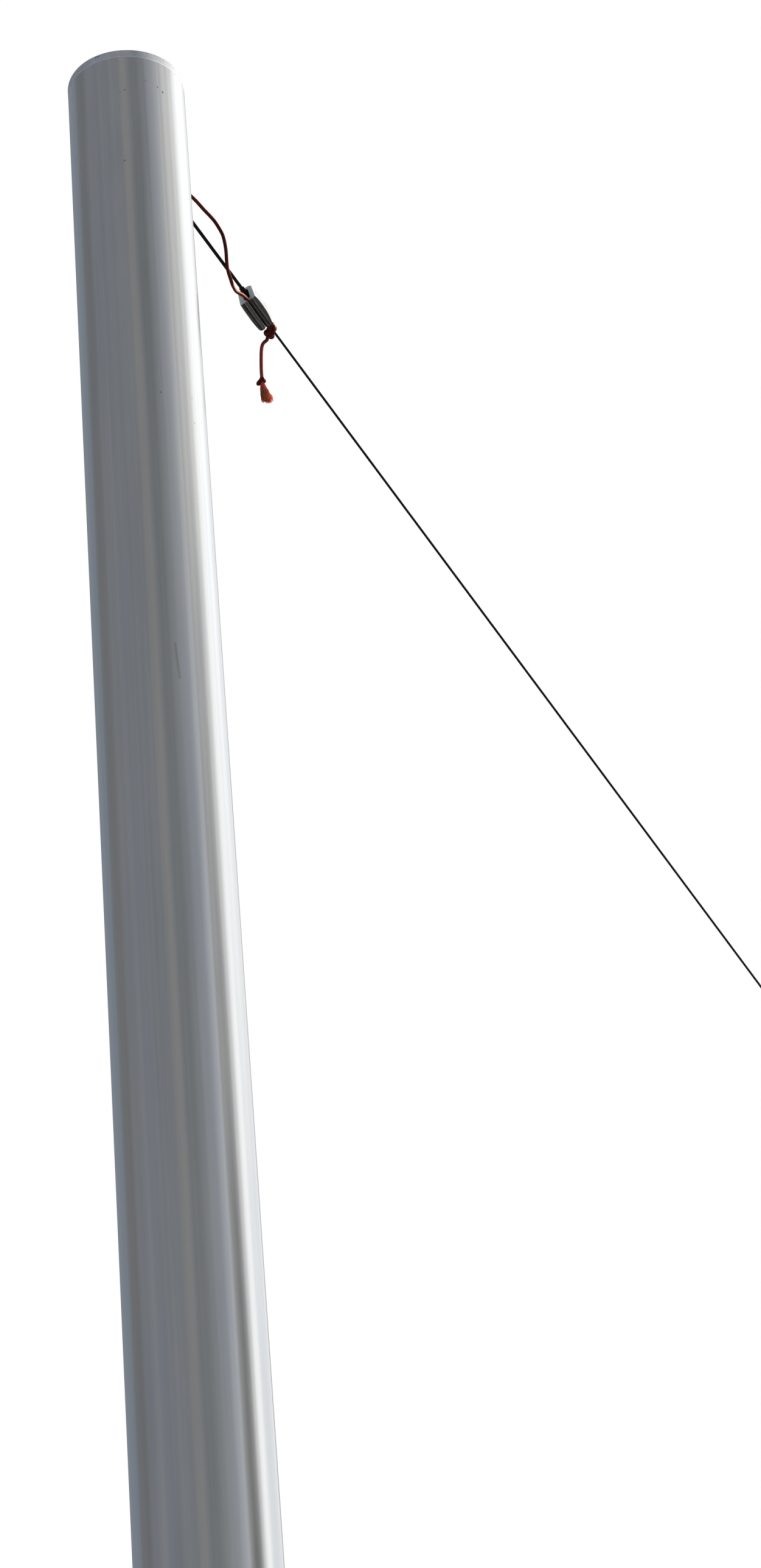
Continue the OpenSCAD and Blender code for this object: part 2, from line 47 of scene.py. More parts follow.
# Sizes in millimetres and angles, as the source of the solids gives them
POLE_H = 3500
POLE_R = 57.15
CAP_RIM = 9
STAY_DROP = 58.7
STAY_Z = POLE_H - STAY_DROP
STAY_SLOPE = math.radians(30)
WIRE_D = 2.6
LEG_TURN = math.radians(40)
LUG_X = POLE_R + 9.5
LUG_T = 3
STAY_HOLE = 8
LUG_RIM = 4.5
CORD_RISE = 21
CLAMP_AT = 195
CLAMP_L = 37.5
ANCHOR_HOLE_H = 48
THIMBLE_R = 8
THIMBLE_WALL = 1.6
BODY_AT = 62
BODY_L = 110
EYE_R = 9
EYE_ROD = 5
CORD_D = 3.6
WIRE_GAP = 0.06

# The camera stands low beside the pole and looks up at its top
EYE = (-1.6762, -1.4000, 1.5709)
LOOK = Vector((0.72639, 0.50881, 0.46203))
RIGHT = Vector((0.60709, -0.79016, -0.08427))
LENS_MM = 65.68
SENSOR_MM = 36


def placed(name, data):
    """An object at the origin with this mesh, lamp or camera."""
    made = bpy.data.objects.new(name, data)
    bpy.context.scene.collection.objects.link(made)
    return made


camera = placed("camera", bpy.data.cameras.new("camera"))
camera.data.sensor_fit = "AUTO"
camera.data.sensor_width = SENSOR_MM
camera.data.lens = LENS_MM
camera.data.clip_start = 0.05
camera.data.clip_end = 200
up = RIGHT.cross(LOOK).normalized()
turn = Matrix((RIGHT.normalized(), up, -LOOK.normalized())).transposed()
camera.matrix_world = Matrix.Translation(EYE) @ turn.to_4x4()
bpy.context.scene.camera = camera


def linear(hex_colour):
    """An sRGB hex colour as linear red, green, blue and alpha."""
    parts = [int(hex_colour[i:i + 2], 16) / 255 for i in (1, 3, 5)]
    return [c / 12.92 if c <= 0.04045 else ((c + 0.055) / 1.055) ** 2.4 for c in parts] + [1]


def add(tree, kind, *inputs, output=None, stops=(), **settings):
    """Adds a node with its settings and links, and gives its output, the first in use where none is named.
    A kind without Node in it is a shader node, and a word after it is the node's operation.
    Inputs go in order, or by name or number in a dict: a value, a hex colour or another node's output.
    stops are the places and hex colours along a colour ramp."""
    kind, _, operation = kind.partition(" ")
    made = tree.nodes.new(kind if "Node" in kind else "ShaderNode" + kind)
    if operation:
        made.operation = operation
    for key, value in settings.items():
        setattr(made, key, value)
    values = {}
    for place, value in enumerate(inputs):
        values.update(value if isinstance(value, dict) else {place: value})
    for key, value in values.items():
        if isinstance(value, bpy.types.NodeSocket):
            tree.links.new(value, made.inputs[key])
        else:
            made.inputs[key].default_value = linear(value) if str(value).startswith("#") else value
    while stops and len(made.color_ramp.elements) < len(stops):
        made.color_ramp.elements.new(0.5)
    for index, (place, colour) in enumerate(stops):
        made.color_ramp.elements[index].position = place
        made.color_ramp.elements[index].color = linear(colour)
    in_use = [socket for socket in made.outputs if socket.enabled]
    return made.outputs[output] if output else in_use[0] if in_use else None


def washed(tree, colour, tone, share, strength):
    """A colour with another tone laid over it, where it lies and how strongly it covers."""
    cover = add(tree, "Math MULTIPLY", share, strength)
    return add(tree, "Mix", {0: cover, 6: colour, 7: tone}, data_type="RGBA")


def material(name, **constants):
    """A material with one principled shader, whose plain numbers are set on its own sockets,
    and the place on the piece that its patterns are laid out by."""
    made = bpy.data.materials.new(name)
    made.use_nodes = True
    tree = made.node_tree
    shader = tree.nodes["Principled BSDF"]
    for key, value in constants.items():
        shader.inputs[key.replace("_", " ")].default_value = value
    return made, tree, shader, add(tree, "TexCoord", output="Object")


def light_material(name):
    """A material with no shader yet, for what only gives light to reflections."""
    made = bpy.data.materials.new(name)
    made.use_nodes = True
    made.node_tree.nodes.clear()
    return made, made.node_tree, add(made.node_tree, "TexCoord", output="Object")


def into(tree, shader, **links):
    """Links a colour, roughness or normal into the shader."""
    for key, value in links.items():
        tree.links.new(value, shader.inputs[key.replace("_", " ")])


def on_stay(t, a=0, b=0):
    """A point beside the stay: t down the stay from the pole's axis, a along Y, b square to both."""
    return np.array([
        t * math.cos(STAY_SLOPE) + b * math.sin(STAY_SLOPE),
        a,
        STAY_Z - t * math.sin(STAY_SLOPE) + b * math.cos(STAY_SLOPE),
    ])


def smooth_route(points, step):
    """An even line through the points, with a ring every step."""
    p = np.asarray(points, float)
    p = np.vstack([2 * p[0] - p[1], p, 2 * p[-1] - p[-2]])
    line = []
    for a, b, c, d in zip(p, p[1:], p[2:], p[3:]):
        for u in np.linspace(0, 1, 24, endpoint=False):
            line.append(0.5 * (2 * b + (c - a) * u + (2 * a - 5 * b + 4 * c - d) * u ** 2
                               + (3 * b - a - 3 * c + d) * u ** 3))
    line = np.array(line + [p[-2]])
    run = np.concatenate([[0], np.cumsum(np.linalg.norm(np.diff(line, axis=0), axis=1))])
    at = np.linspace(0, run[-1], max(3, int(run[-1] / step)))
    return np.stack([np.interp(at, run, line[:, k]) for k in range(3)], 1), at


def carried_frames(line):
    """For each point of a line its direction and two sides, carried along without twist."""
    ahead = np.gradient(line, axis=0)
    ahead /= np.linalg.norm(ahead, axis=1)[:, None]
    side = np.cross(ahead[0], [0.31, 0.2, 0.93])
    side /= np.linalg.norm(side)
    sides = []
    for t in ahead:
        side = side - t * (side @ t)
        side /= np.linalg.norm(side)
        sides.append(side)
    sides = np.array(sides)
    return ahead, sides, np.cross(ahead, sides)


def mesh_object(name, points, faces):
    """A mesh piece in metres from points in millimetres."""
    made = bpy.data.meshes.new(name)
    made.from_pydata((np.asarray(points) * MM).tolist(), [], [list(map(int, f)) for f in faces])
    made.validate()
    made.polygons.foreach_set("use_smooth", [True] * len(made.polygons))
    return placed(name, made)


# The cord's braid: strands each way, and in millimetres the length of their turn, the spacing of the
# mesh's rings and the depth of the grooves
BRAID_STRANDS = 8
BRAID_LAY = 12
BRAID_STEP = 0.26
BRAID_SIDES = 40
BRAID_DEPTH = 0.16


def braided(name, points, diameter=CORD_D, painted_sun_and_dark=((0,), (0,)), worn=((0,), (0,))):
    """A braided cord along the points, and its middle line: two families of strands cross over and under.
    Two tables give places along it in millimetres with a value for each: the first paints sunlight on the
    cord's side towards the sun above 0, all round it above 1, and paints the cord darker below 0; the second
    tells how worn it is."""
    line, run = smooth_route(points, BRAID_STEP)
    ahead, side, other = carried_frames(line)
    turn_at = np.linspace(0, 2 * math.pi, BRAID_SIDES, endpoint=False)
    around, along = np.meshgrid(turn_at, run)
    ways = [BRAID_STRANDS * (around / (2 * math.pi) + way * along / BRAID_LAY) for way in (1, -1)]
    over = np.sin(math.pi * ways[0]) * np.sin(math.pi * ways[1])
    ribs = [np.sqrt(np.clip(1 - (2 * (place % 1) - 1) ** 2, 0, 1)) * (0.72 + 0.28 * way * over)
            for place, way in zip(ways, (1, -1))]
    height = np.maximum(*ribs)
    radius = diameter / 2 - BRAID_DEPTH * (1 - height)
    rings = (line[:, None] + radius[..., None] * (
        np.cos(around)[..., None] * side[:, None] + np.sin(around)[..., None] * other[:, None]))
    count = len(line)
    verts = np.vstack([rings.reshape(-1, 3), line[:1], line[-1:]])
    faces = []
    for i in range(count - 1):
        for k in range(BRAID_SIDES):
            j = (k + 1) % BRAID_SIDES
            low, high = i * BRAID_SIDES, (i + 1) * BRAID_SIDES
            faces.append((low + k, low + j, high + j, high + k))
    first, last = len(verts) - 2, len(verts) - 1
    for k in range(BRAID_SIDES):
        j = (k + 1) % BRAID_SIDES
        faces.append((first, j, k))
        faces.append((last, (count - 1) * BRAID_SIDES + k, (count - 1) * BRAID_SIDES + j))
    piece = mesh_object(name, verts, faces)
    crown = piece.data.attributes.new("crown", "FLOAT", "POINT")
    crown.data.foreach_set("value", np.append(height.ravel(), [0.3, 0.3]).astype(np.float32))
    for label, (places, values) in (("painted_sun_and_dark", painted_sun_and_dark), ("worn", worn)):
        kept = piece.data.attributes.new(label, "FLOAT", "POINT")
        amounts = np.interp(np.append(along.ravel(), [0, run[-1]]), places, values)
        kept.data.foreach_set("value", amounts.astype(np.float32))
    return piece, line


# The cord's route, as in the solids
CORD_ROUTE = [
    (84.8, 1.1, 3424.1), (88, 1, 3423.8), (92.6, 0.8, 3422.8), (99.4, 0.4, 3420.6), (105, 0.2, 3418.4),
    (110.5, 0, 3416), (119.5, -0.4, 3412.7), (126.5, -0.8, 3409.1), (132.8, -1.5, 3402.4),
    (135.6, -2.1, 3397.3), (136.6, -2.7, 3391.4), (137, -3.2, 3385.3), (137, -3.7, 3378.8),
    (136.6, -4.1, 3372.3), (136.2, -4.3, 3365.9), (136.1, -4.4, 3359.7), (136.6, -4.5, 3353.8),
    (137.9, -4.6, 3348.4), (140.6, -4.1, 3344.2), (144.6, -2.5, 3341.2), (149.4, -0.9, 3339.4),
    (153.8, 0.1, 3338.4), (157, -0.5, 3337.6), (160.1, -1.8, 3336.7), (162.9, -2.7, 3335.6),
    (165.7, -3, 3334.6), (168.4, -2.7, 3333.6), (173.7, -1.9, 3331.2), (186.1, -1, 3324.8),
    (194.1, -0.5, 3320.8), (197.9, -0.5, 3320.3), (200.3, -0.8, 3320.8), (201.8, -0.9, 3321.3),
]
TAIL_ROUTE = [
    (207, 5, 3313.7), (205.6, 5.6, 3308.9), (203.8, 7.9, 3306.2), (202.7, 9.3, 3303.4),
    (202, 10.2, 3299.4), (201.6, 10.9, 3293.4), (201.2, 11.4, 3285), (200.9, 11.8, 3276.2),
    (200.8, 12, 3270), (201, 12.2, 3263.8), (201.1, 12.4, 3259.6),
]
HITCH_AT = 239.8
TAIL_KNOT = np.array([201.1, 12.3, 3260])


def beside_wire(t, low, near):
    """A point of the hitch: t down the wire from its middle, low to where it hangs, near to its front."""
    return on_stay(HITCH_AT + t, 0.869 * low - 0.495 * near, -0.495 * low - 0.869 * near)


# Inside the hitch the cord crosses over the turns
HITCH_CORE = [tuple(beside_wire(*q)) for q in ((-2.6, 0.6, 3.2), (0.4, 2.6, 3.8), (3.2, 5.4, 3.0))]

# Painted sunlight lies on the cord's side towards the sun, all round it where it lies over the clamp's end;
# inside the clamp the cord is painted dark, as painted shade, and on its first 92 mm from the pad eye it is
# darkened a little
cord, cord_line = braided(
    "red_cord", CORD_ROUTE + HITCH_CORE + TAIL_ROUTE,
    painted_sun_and_dark=((92, 98, 106, 118, 122, 142, 146, 148, 179, 182, 200, 215),
              (-0.3, 0.2, 0.5, 0.4, 1.6, 1.6, 0, -1, -1, 0, 0, 0.3)),
    worn=((0, 20, 40, 200, 212), (0.35, 0.2, 0, 0, 1)))

# The loop in the pad eye and its stopper knot
LOOP_R = 1.5 * CORD_D
cord_hole_z = STAY_Z - LUG_X * math.tan(STAY_SLOPE) + CORD_RISE
loop_middle = np.array([LUG_X + 0.4 + LOOP_R, 0, cord_hole_z])
loop_points = [
    loop_middle + [LOOP_R * math.cos(w), LOOP_R * math.sin(w), 0.5 * math.sin(2 * w)]
    for w in np.radians(np.arange(14, 350, 24))
]
# The loop and its knot carry a little painted sunlight on their sunny side
cord_loop, _ = braided("cord_loop_braided", loop_points, painted_sun_and_dark=((0,), (0.25,)))
knot_middle = loop_middle + [LOOP_R + 0.95 * CORD_D, 0.4, 0.3]
WHIP_R, WHIP_L, WHIP_POINTS = 1.75, 4.6, 30
whip_points = [
    knot_middle + [WHIP_L * k / (WHIP_POINTS - 1) - 2.4, WHIP_R * math.cos(w), WHIP_R * math.sin(w)]
    for k, w in enumerate(0.66 * np.arange(WHIP_POINTS))
]
cord_whip, _ = braided("cord_loop_knot", whip_points, diameter=2.7, painted_sun_and_dark=((0,), (0.25,)))

# Three turns round the wire, and the bights that lie over them and hang at one side
TURN_R = 3.15
hitch_points = [beside_wire(-1.2, 3.4, -1.4)]
for k in range(27):
    w = math.radians(120 + 37 * k)
    hitch_points.append(on_stay(HITCH_AT - 3.1 + 0.24 * k, TURN_R * math.cos(w), TURN_R * math.sin(w)))
hitch_points.append(beside_wire(2.6, 3.6, 0.6))
# The turns carry painted sunlight on their side towards the sun
hitch_turns, _ = braided("hitch_turns", hitch_points, diameter=3.7, painted_sun_and_dark=((0,), (0.6,)))
cross_points = [beside_wire(*q) for q in (
    (-1.6, -3.3, 1.6), (0.6, -1.6, 4.6), (3.2, 1.6, 5.0), (4.6, 4.6, 4.0), (3.8, 7.0, 2.6),
    (1.2, 8.0, 1.6), (-0.6, 7.6, 0.2), (-0.6, 5.6, -1.6), (1.8, 3.8, -2.6), (4.8, 2.8, -2.0),
    (6.9, 3.2, -0.4), (7.3, 5.0, 0.9), (5.8, 6.6, 1.0), (3.4, 5.6, 0.6), (1.6, 4.4, 2.4),
    (0.4, 5.6, 3.6), (0.9, 7.2, 3.0), (2.6, 7.0, 0.8), (4.2, 5.6, -0.6),
)]
# Painted sunlight lies along the crossing, with a strong painted highlight on a short stretch past its middle
hitch_cross, _ = braided(
    "hitch_crossing", cross_points,
    painted_sun_and_dark=((0, 6, 9, 24, 27, 33, 36), (0.5, 0.45, 0.3, 0.3, 0.9, 0.9, 0.3)))

# An overhand knot drawn tight near the end of the tail, one of its three lobes pulled out
KNOT_RIGHT = np.array([0.607, -0.790, -0.084])
KNOT_UP = np.array([-0.322, -0.342, 0.883])
KNOT_AWAY = np.array([0.726, 0.509, 0.462])
KNOT_R, KNOT_DEPTH, KNOT_PULL = 0.88, 1.3, 0.42
KNOT_SWING, PULL_TO = math.radians(-52), math.radians(222)
swing = np.array(Matrix.Rotation(KNOT_SWING, 2))
pulled = np.array([math.cos(PULL_TO), math.sin(PULL_TO)])
knot_points = []
for k in range(46):
    w = math.radians(8.4 * k)
    flat = KNOT_R * swing @ [math.sin(w) + 2 * math.sin(2 * w), math.cos(w) - 2 * math.cos(2 * w)]
    flat = flat + pulled * KNOT_PULL * max(0.0, float(flat @ pulled)) ** 2
    knot_points.append(
        TAIL_KNOT + flat[0] * KNOT_RIGHT + flat[1] * KNOT_UP - KNOT_DEPTH * math.sin(3 * w) * KNOT_AWAY)
# A little painted sunlight lies on the knot's sunny side
knot_turns, _ = braided(
    "tail_knot_turns", knot_points, diameter=3.1, painted_sun_and_dark=((0,), (0.1,)), worn=((0,), (0.05,)))


def baked_nodes(name, carrier, tree, values):
    """Runs a geometry tree over a carrier mesh and keeps its result as a plain mesh piece."""
    modifier = carrier.modifiers.new("shape", "NODES")
    modifier.node_group = tree
    for item in tree.interface.items_tree:
        if item.item_type == "SOCKET" and item.in_out == "INPUT" and item.name in values:
            modifier[item.identifier] = values[item.name]
    bpy.context.view_layer.update()
    whole = carrier.evaluated_get(bpy.context.evaluated_depsgraph_get())
    made = bpy.data.meshes.new_from_object(whole)
    made.name = name
    bpy.data.objects.remove(carrier)
    made.materials.clear()
    made.materials.append(values["Material"])
    return placed(name, made)


def tree_with(name, inputs):
    """An empty geometry tree with named inputs, each of its kind, and one geometry output."""
    tree = bpy.data.node_groups.new(name, "GeometryNodeTree")
    tree.interface.new_socket("Geometry", in_out="INPUT", socket_type="NodeSocketGeometry")
    for label, kind in inputs.items():
        tree.interface.new_socket(label, in_out="INPUT", socket_type="NodeSocket" + kind)
    tree.interface.new_socket("Geometry", in_out="OUTPUT", socket_type="NodeSocketGeometry")
    return tree, tree.nodes.new("NodeGroupInput").outputs, tree.nodes.new("NodeGroupOutput").inputs[0]


def polyline(name, points):
    """A bare line of edges that a tree can follow."""
    made = bpy.data.meshes.new(name)
    made.from_pydata((np.asarray(points) * MM).tolist(), [(i, i + 1) for i in range(len(points) - 1)], [])
    return placed(name, made)


# Materials

# Turned by this about the pole's axis, the side towards the camera is at bearing 0
SEEN_TURN = math.radians(140.1)


def near_mark(tree, place, ends, radius):
    """1 within so many millimetres of a point or a stroke between two points, fading out at its rim."""
    start, end = (Vector(q) * MM for q in (ends[0], ends[-1]))
    away = add(tree, "VectorMath SUBTRACT", place, start)
    if len(ends) > 1:
        stroke = end - start
        share = add(tree, "VectorMath DOT_PRODUCT", away, stroke / stroke.length_squared)
        share = add(tree, "Clamp", share)
        along = add(tree, "VectorMath SCALE", stroke, {"Scale": share})
        away = add(tree, "VectorMath SUBTRACT", away, along)
    distance = add(tree, "VectorMath LENGTH", away)
    return add(tree, "MapRange", distance, 1.5 * radius * MM, 0.5 * radius * MM)


def marked(tree, place, colour, marks):
    """A colour with small marks over it: each has its ends, radius, colour and how strongly it covers."""
    for ends, radius, tone, cover in marks:
        colour = washed(tree, colour, tone, near_mark(tree, place, ends, radius), cover)
    return colour


def bearing_of(tree, place):
    """Degrees round the pole from the side that the camera sees, positive to the right."""
    turned = add(tree, "VectorRotate", {"Vector": place, "Angle": SEEN_TURN}, rotation_type="Z_AXIS")
    parts = add(tree, "SeparateXYZ", turned).node.outputs
    return add(tree, "Math DEGREES", add(tree, "Math ARCTAN2", parts["Y"], parts["X"]))


# Bands that the die left along the tube: bearing from the seen side and half width in degrees, colour, cover
DIE_LINES = [
    (-53, 12, "#968d82", 0.38), (-68, 7, "#929eae", 0.42), (-26, 8, "#9fa4b0", 0.25),
    (-3, 5, "#c6bfb6", 0.28), (7, 7, "#8e9494", 0.32), (13, 4, "#a6b0b0", 0.15), (21, 4, "#b9babf", 0.2),
    (34.5, 1.3, "#9f9688", 0.28), (38, 2.8, "#c8c4bc", 0.2), (46, 2.4, "#d9d2c8", 0.2),
]
# Specks, a hooked scratch, faint scratches and a rubbed streak on the tube
TUBE_MARKS = [
    ([(-44.7, -35.6, 3449.5)], 0.62, "#17191a", 0.9), ([(-47.4, -32.0, 3447.3)], 0.6, "#3c3e41", 0.6),
    ([(-17.6, -54.4, 3459.9), (-17.9, -54.3, 3458.0)], 0.42, "#2f302e", 0.75),
    ([(-17.3, -54.5, 3459.8), (-16.9, -54.6, 3459.4)], 0.35, "#2f302e", 0.7),
    ([(-12.1, -55.9, 3455.8), (-11.7, -55.9, 3455.1)], 0.8, "#1b1d1e", 0.9),
    ([(-29.6, -48.9, 3463.2), (-27.9, -49.9, 3462.8)], 0.6, "#5d5f62", 0.3),
    ([(-47.1, -32.3, 3362.5), (-46.5, -33.2, 3363.7)], 0.42, "#2c2f31", 0.8),
    ([(-31.8, -47.5, 3096.1)], 0.6, "#1d1f20", 0.9), ([(1.1, -57.1, 3101.4)], 0.6, "#4b4a47", 0.8),
    ([(2.3, -57.1, 3074.4)], 0.6, "#4b4a47", 0.8),
    ([(-32.2, -47.2, 2831.7), (-30.2, -48.5, 2798)], 1.1, "#8d8a86", 0.45),
    ([(-53.5, 20.1, 3419), (-52.6, 22.4, 3417)], 0.6, "#c4c8ca", 0.28),
    ([(-54.6, 16.9, 3412), (-53.9, 19, 3411)], 0.7, "#5f656c", 0.28),
    ([(-51.2, 25.4, 3405), (-52.1, 23.5, 3402)], 0.6, "#c4c8ca", 0.25),
    ([(-53.2, 20.9, 3396), (-52.3, 23, 3394)], 0.7, "#62686f", 0.3),
    ([(-54.2, 18.1, 3388), (-53.6, 19.8, 3385)], 0.6, "#c0c5c9", 0.22),
    ([(-55.2, 14.8, 3379), (-54.6, 16.9, 3377)], 0.7, "#5f656c", 0.25),
]


def drawn_aluminium():
    """Drawn aluminium tube, satin: fine lines along the tube, soft bands and rain marks, a few specks."""
    made, tree, shader, place = material("drawn_aluminium_tube", Metallic=1.0)
    bearing = bearing_of(tree, place)
    # Everything runs along the tube, so heights are pressed together before the noise. The lines are 0.7 mm
    # apart, coarser than life so that they show, the bands 22 and 70 mm wide and the rain marks 6 mm
    lines = add(tree, "Mapping", {"Vector": place, "Scale": (1, 1, 0.012)})
    bands = add(tree, "Mapping", {"Vector": place, "Scale": (1, 1, 0.08)})
    fine = add(tree, "TexNoise", {"Vector": lines, "Scale": 1500, "Detail": 2})
    soft = add(tree, "TexNoise", {"Vector": bands, "Scale": 45, "Detail": 4, "Roughness": 0.6})
    broad = add(tree, "TexNoise", {"Vector": bands, "Scale": 14, "Detail": 2})
    cloud = add(tree, "TexNoise", {"Vector": place, "Scale": 9, "Detail": 5, "Roughness": 0.6})
    runs = add(tree, "Mapping", {"Vector": place, "Scale": (1, 1, 0.004)})
    streaks = add(tree, "TexNoise", {"Vector": runs, "Scale": 160, "Detail": 3, "Roughness": 0.6})
    colour = add(tree, "ValToRGB", soft, stops=[(0.3, "#a5aab2"), (0.5, "#b1b5bb"), (0.7, "#b9babb")])
    rain = add(tree, "ValToRGB", streaks, stops=[(0.32, "#a4a8ae"), (0.5, "#b3b7bc"), (0.66, "#bfc0c0")])
    colour = add(tree, "Mix", {0: 0.5, 6: colour, 7: rain}, data_type="RGBA")
    colour = washed(tree, colour, "#a79e90", broad, 0.12)
    colour = washed(tree, colour, "#8c949d", cloud, 0.15)
    for at, half, tone, cover in DIE_LINES:
        off = add(tree, "Math ABSOLUTE", add(tree, "Math SUBTRACT", bearing, at))
        line = add(tree, "MapRange", off, half, 0.25 * half, 0, cover, interpolation_type="SMOOTHSTEP")
        colour = add(tree, "Mix", {0: line, 6: colour, 7: tone}, data_type="RGBA")
    colour = marked(tree, place, colour, TUBE_MARKS)
    rough = add(tree, "MapRange", soft, 0.25, 0.75, 0.19, 0.27)
    bump = add(tree, "Bump", {"Height": fine, "Strength": 0.25, "Distance": 0.02 * MM})
    into(tree, shader, Base_Color=colour, Roughness=rough, Normal=bump)
    return made


# Chips and knocks along the cap's upper edge, mostly dark
CAP_MARKS = [
    ([(-56.3, -10.6, 3497.2), (-56.1, -11.2, 3497.5)], 0.6, "#2a2b33", 0.85),
    ([(-55.8, -12.4, 3497.6)], 0.55, "#2f3038", 0.8),
    ([(-55.5, -13.7, 3497.2), (-55.4, -14.1, 3497.7)], 0.6, "#2a2b33", 0.85),
    ([(-54.9, -15.9, 3498.0)], 0.45, "#3a3b44", 0.7),
    ([(-45.8, -34.2, 3499.2), (-45.8, -34.2, 3497.8)], 0.35, "#4c4d56", 0.6),
    ([(-26.8, -50.5, 3499.2), (-26.4, -50.7, 3498.4)], 0.45, "#44454e", 0.6),
    ([(-18.8, -54.0, 3499.2), (-18.6, -54.0, 3497.4)], 0.3, "#6c6d74", 0.4),
    ([(-15.4, -55.0, 3498.6), (-15.0, -55.1, 3496.4)], 0.3, "#76777c", 0.45),
    ([(-12.6, -55.7, 3497.8), (-12.3, -55.8, 3496.4)], 0.3, "#7d7e82", 0.4),
    ([(-9.1, -56.4, 3498.2), (-8.8, -56.4, 3496.2)], 0.3, "#77787c", 0.45),
    ([(-4.5, -57.0, 3497.8), (-4.3, -57.0, 3496.6)], 0.3, "#8b8c8f", 0.35),
]


# The way from the cap's middle to its sunny edge
SUNNY_EDGE = (0.9056, -0.4242, 0)


def turned_aluminium():
    """Turned aluminium cap: fine rings from the tool, matt and paler than the tube, knocked along its rim."""
    made, tree, shader, place = material("turned_aluminium_cap", Metallic=0.8)
    bearing = bearing_of(tree, place)
    # Tool marks 0.4 mm apart on the face and round the rim, and clouds of oxide 17 mm wide
    flat = add(tree, "Mapping", {"Vector": place, "Scale": (1, 1, 0)})
    radius = add(tree, "VectorMath LENGTH", flat)
    rings = add(tree, "TexNoise", {"W": radius, "Scale": 2600, "Detail": 2}, noise_dimensions="1D")
    height = add(tree, "SeparateXYZ", place, output="Z")
    lathe = add(tree, "TexNoise", {"W": height, "Scale": 2400, "Detail": 3}, noise_dimensions="1D")
    cloud = add(tree, "TexNoise", {"Vector": place, "Scale": 60, "Detail": 5, "Roughness": 0.65})
    colour = add(tree, "ValToRGB", cloud, stops=[(0.3, "#c6c8cd"), (0.55, "#d0d2d6"), (0.75, "#d9d9db")])
    # Painted shade: the side away from the sun is painted a darker, duller tone, which fades out towards the
    # sunny side
    sunward = add(tree, "VectorMath DOT_PRODUCT", place, SUNNY_EDGE)
    shaded = add(tree, "MapRange", sunward, 12.9 * MM, -12.9 * MM, interpolation_type="SMOOTHSTEP")
    painted_shade_tone = add(tree, "ValToRGB", cloud, stops=[(0.3, "#969ba5"), (0.55, "#a4a8b1"), (0.75, "#b0b3b8")])
    colour = add(tree, "Mix", {0: shaded, 6: colour, 7: painted_shade_tone}, data_type="RGBA")
    # Upright ticks 0.9 mm wide where something rubbed along the rim
    upright = add(tree, "Mapping", {"Vector": place, "Scale": (1, 1, 0.1)})
    ticks = add(tree, "TexNoise", {"Vector": upright, "Scale": 1100, "Detail": 2})
    ticks = add(tree, "MapRange", ticks, 0.6, 0.68)
    rubbed = add(tree, "MapRange", add(tree, "Math ABSOLUTE", add(tree, "Math SUBTRACT", bearing, 32)), 22, 8)
    colour = washed(tree, colour, "#85868c", add(tree, "Math MULTIPLY", ticks, rubbed), 0.45)
    # The lower edge is broken, and a near white painted highlight lies along it, strong on the sunny side and
    # faint on the shaded one; grime lies along the upper edge
    low = add(tree, "MapRange", height, (POLE_H - CAP_RIM + 1.1) * MM, (POLE_H - CAP_RIM + 0.5) * MM)
    colour = washed(tree, colour, "#f0f0f3", low, add(tree, "Math MULTIPLY_ADD", shaded, -0.75, 1.0))
    high = add(tree, "MapRange", height, (POLE_H - 1.6) * MM, (POLE_H - 0.5) * MM)
    colour = washed(tree, colour, "#6d707c", high, add(tree, "Math MULTIPLY", cloud, 0.7))
    colour = marked(tree, place, colour, CAP_MARKS)
    marks = add(tree, "Math ADD", rings, lathe)
    bump = add(tree, "Bump", {"Height": marks, "Strength": 0.35, "Distance": 0.03 * MM})
    rough = add(tree, "MapRange", cloud, 0.3, 0.7, 0.42, 0.55)
    into(tree, shader, Base_Color=colour, Roughness=rough, Normal=bump)
    return made


def galvanised_steel():
    """Hot-dip galvanised steel: flat crystal patches, dull grey."""
    made, tree, shader, place = material("galvanised_steel", Metallic=0.7)
    # Crystals 9 mm wide under clouds of 40 mm
    crystal = add(tree, "TexVoronoi", {"Vector": place, "Scale": 110}, output="Color")
    patch = add(tree, "RGBToBW", crystal)
    cloud = add(tree, "TexNoise", {"Vector": place, "Scale": 25, "Detail": 5, "Roughness": 0.6})
    tone = add(tree, "Math MULTIPLY_ADD", patch, 0.45, add(tree, "Math MULTIPLY", cloud, 0.55))
    colour = add(tree, "ValToRGB", tone, stops=[(0.3, "#90959a"), (0.5, "#a5a9ac"), (0.7, "#b9bbbb")])
    rough = add(tree, "MapRange", patch, 0.2, 0.8, 0.42, 0.62)
    bump = add(tree, "Bump", {"Height": cloud, "Strength": 0.2, "Distance": 0.4 * MM})
    into(tree, shader, Base_Color=colour, Roughness=rough, Normal=bump)
    return made


def satin_stainless():
    """Stainless fittings, tumbled satin, with a little dust in the hollows."""
    made, tree, shader, place = material("satin_stainless_steel", Metallic=1.0)
    # The tumbled grain is drawn 1 mm wide, coarser than life so that it shows, under dull clouds of 14 mm
    grain = add(tree, "TexNoise", {"Vector": place, "Scale": 900, "Detail": 3})
    cloud = add(tree, "TexNoise", {"Vector": place, "Scale": 70, "Detail": 4, "Roughness": 0.6})
    colour = add(tree, "ValToRGB", cloud, stops=[(0.3, "#8b8c8b"), (0.5, "#a9abab"), (0.7, "#b9babb")])
    rough = add(tree, "MapRange", cloud, 0.3, 0.7, 0.25, 0.42)
    bump = add(tree, "Bump", {"Height": grain, "Strength": 0.15, "Distance": 0.05 * MM})
    into(tree, shader, Base_Color=colour, Roughness=rough, Normal=bump)
    return made


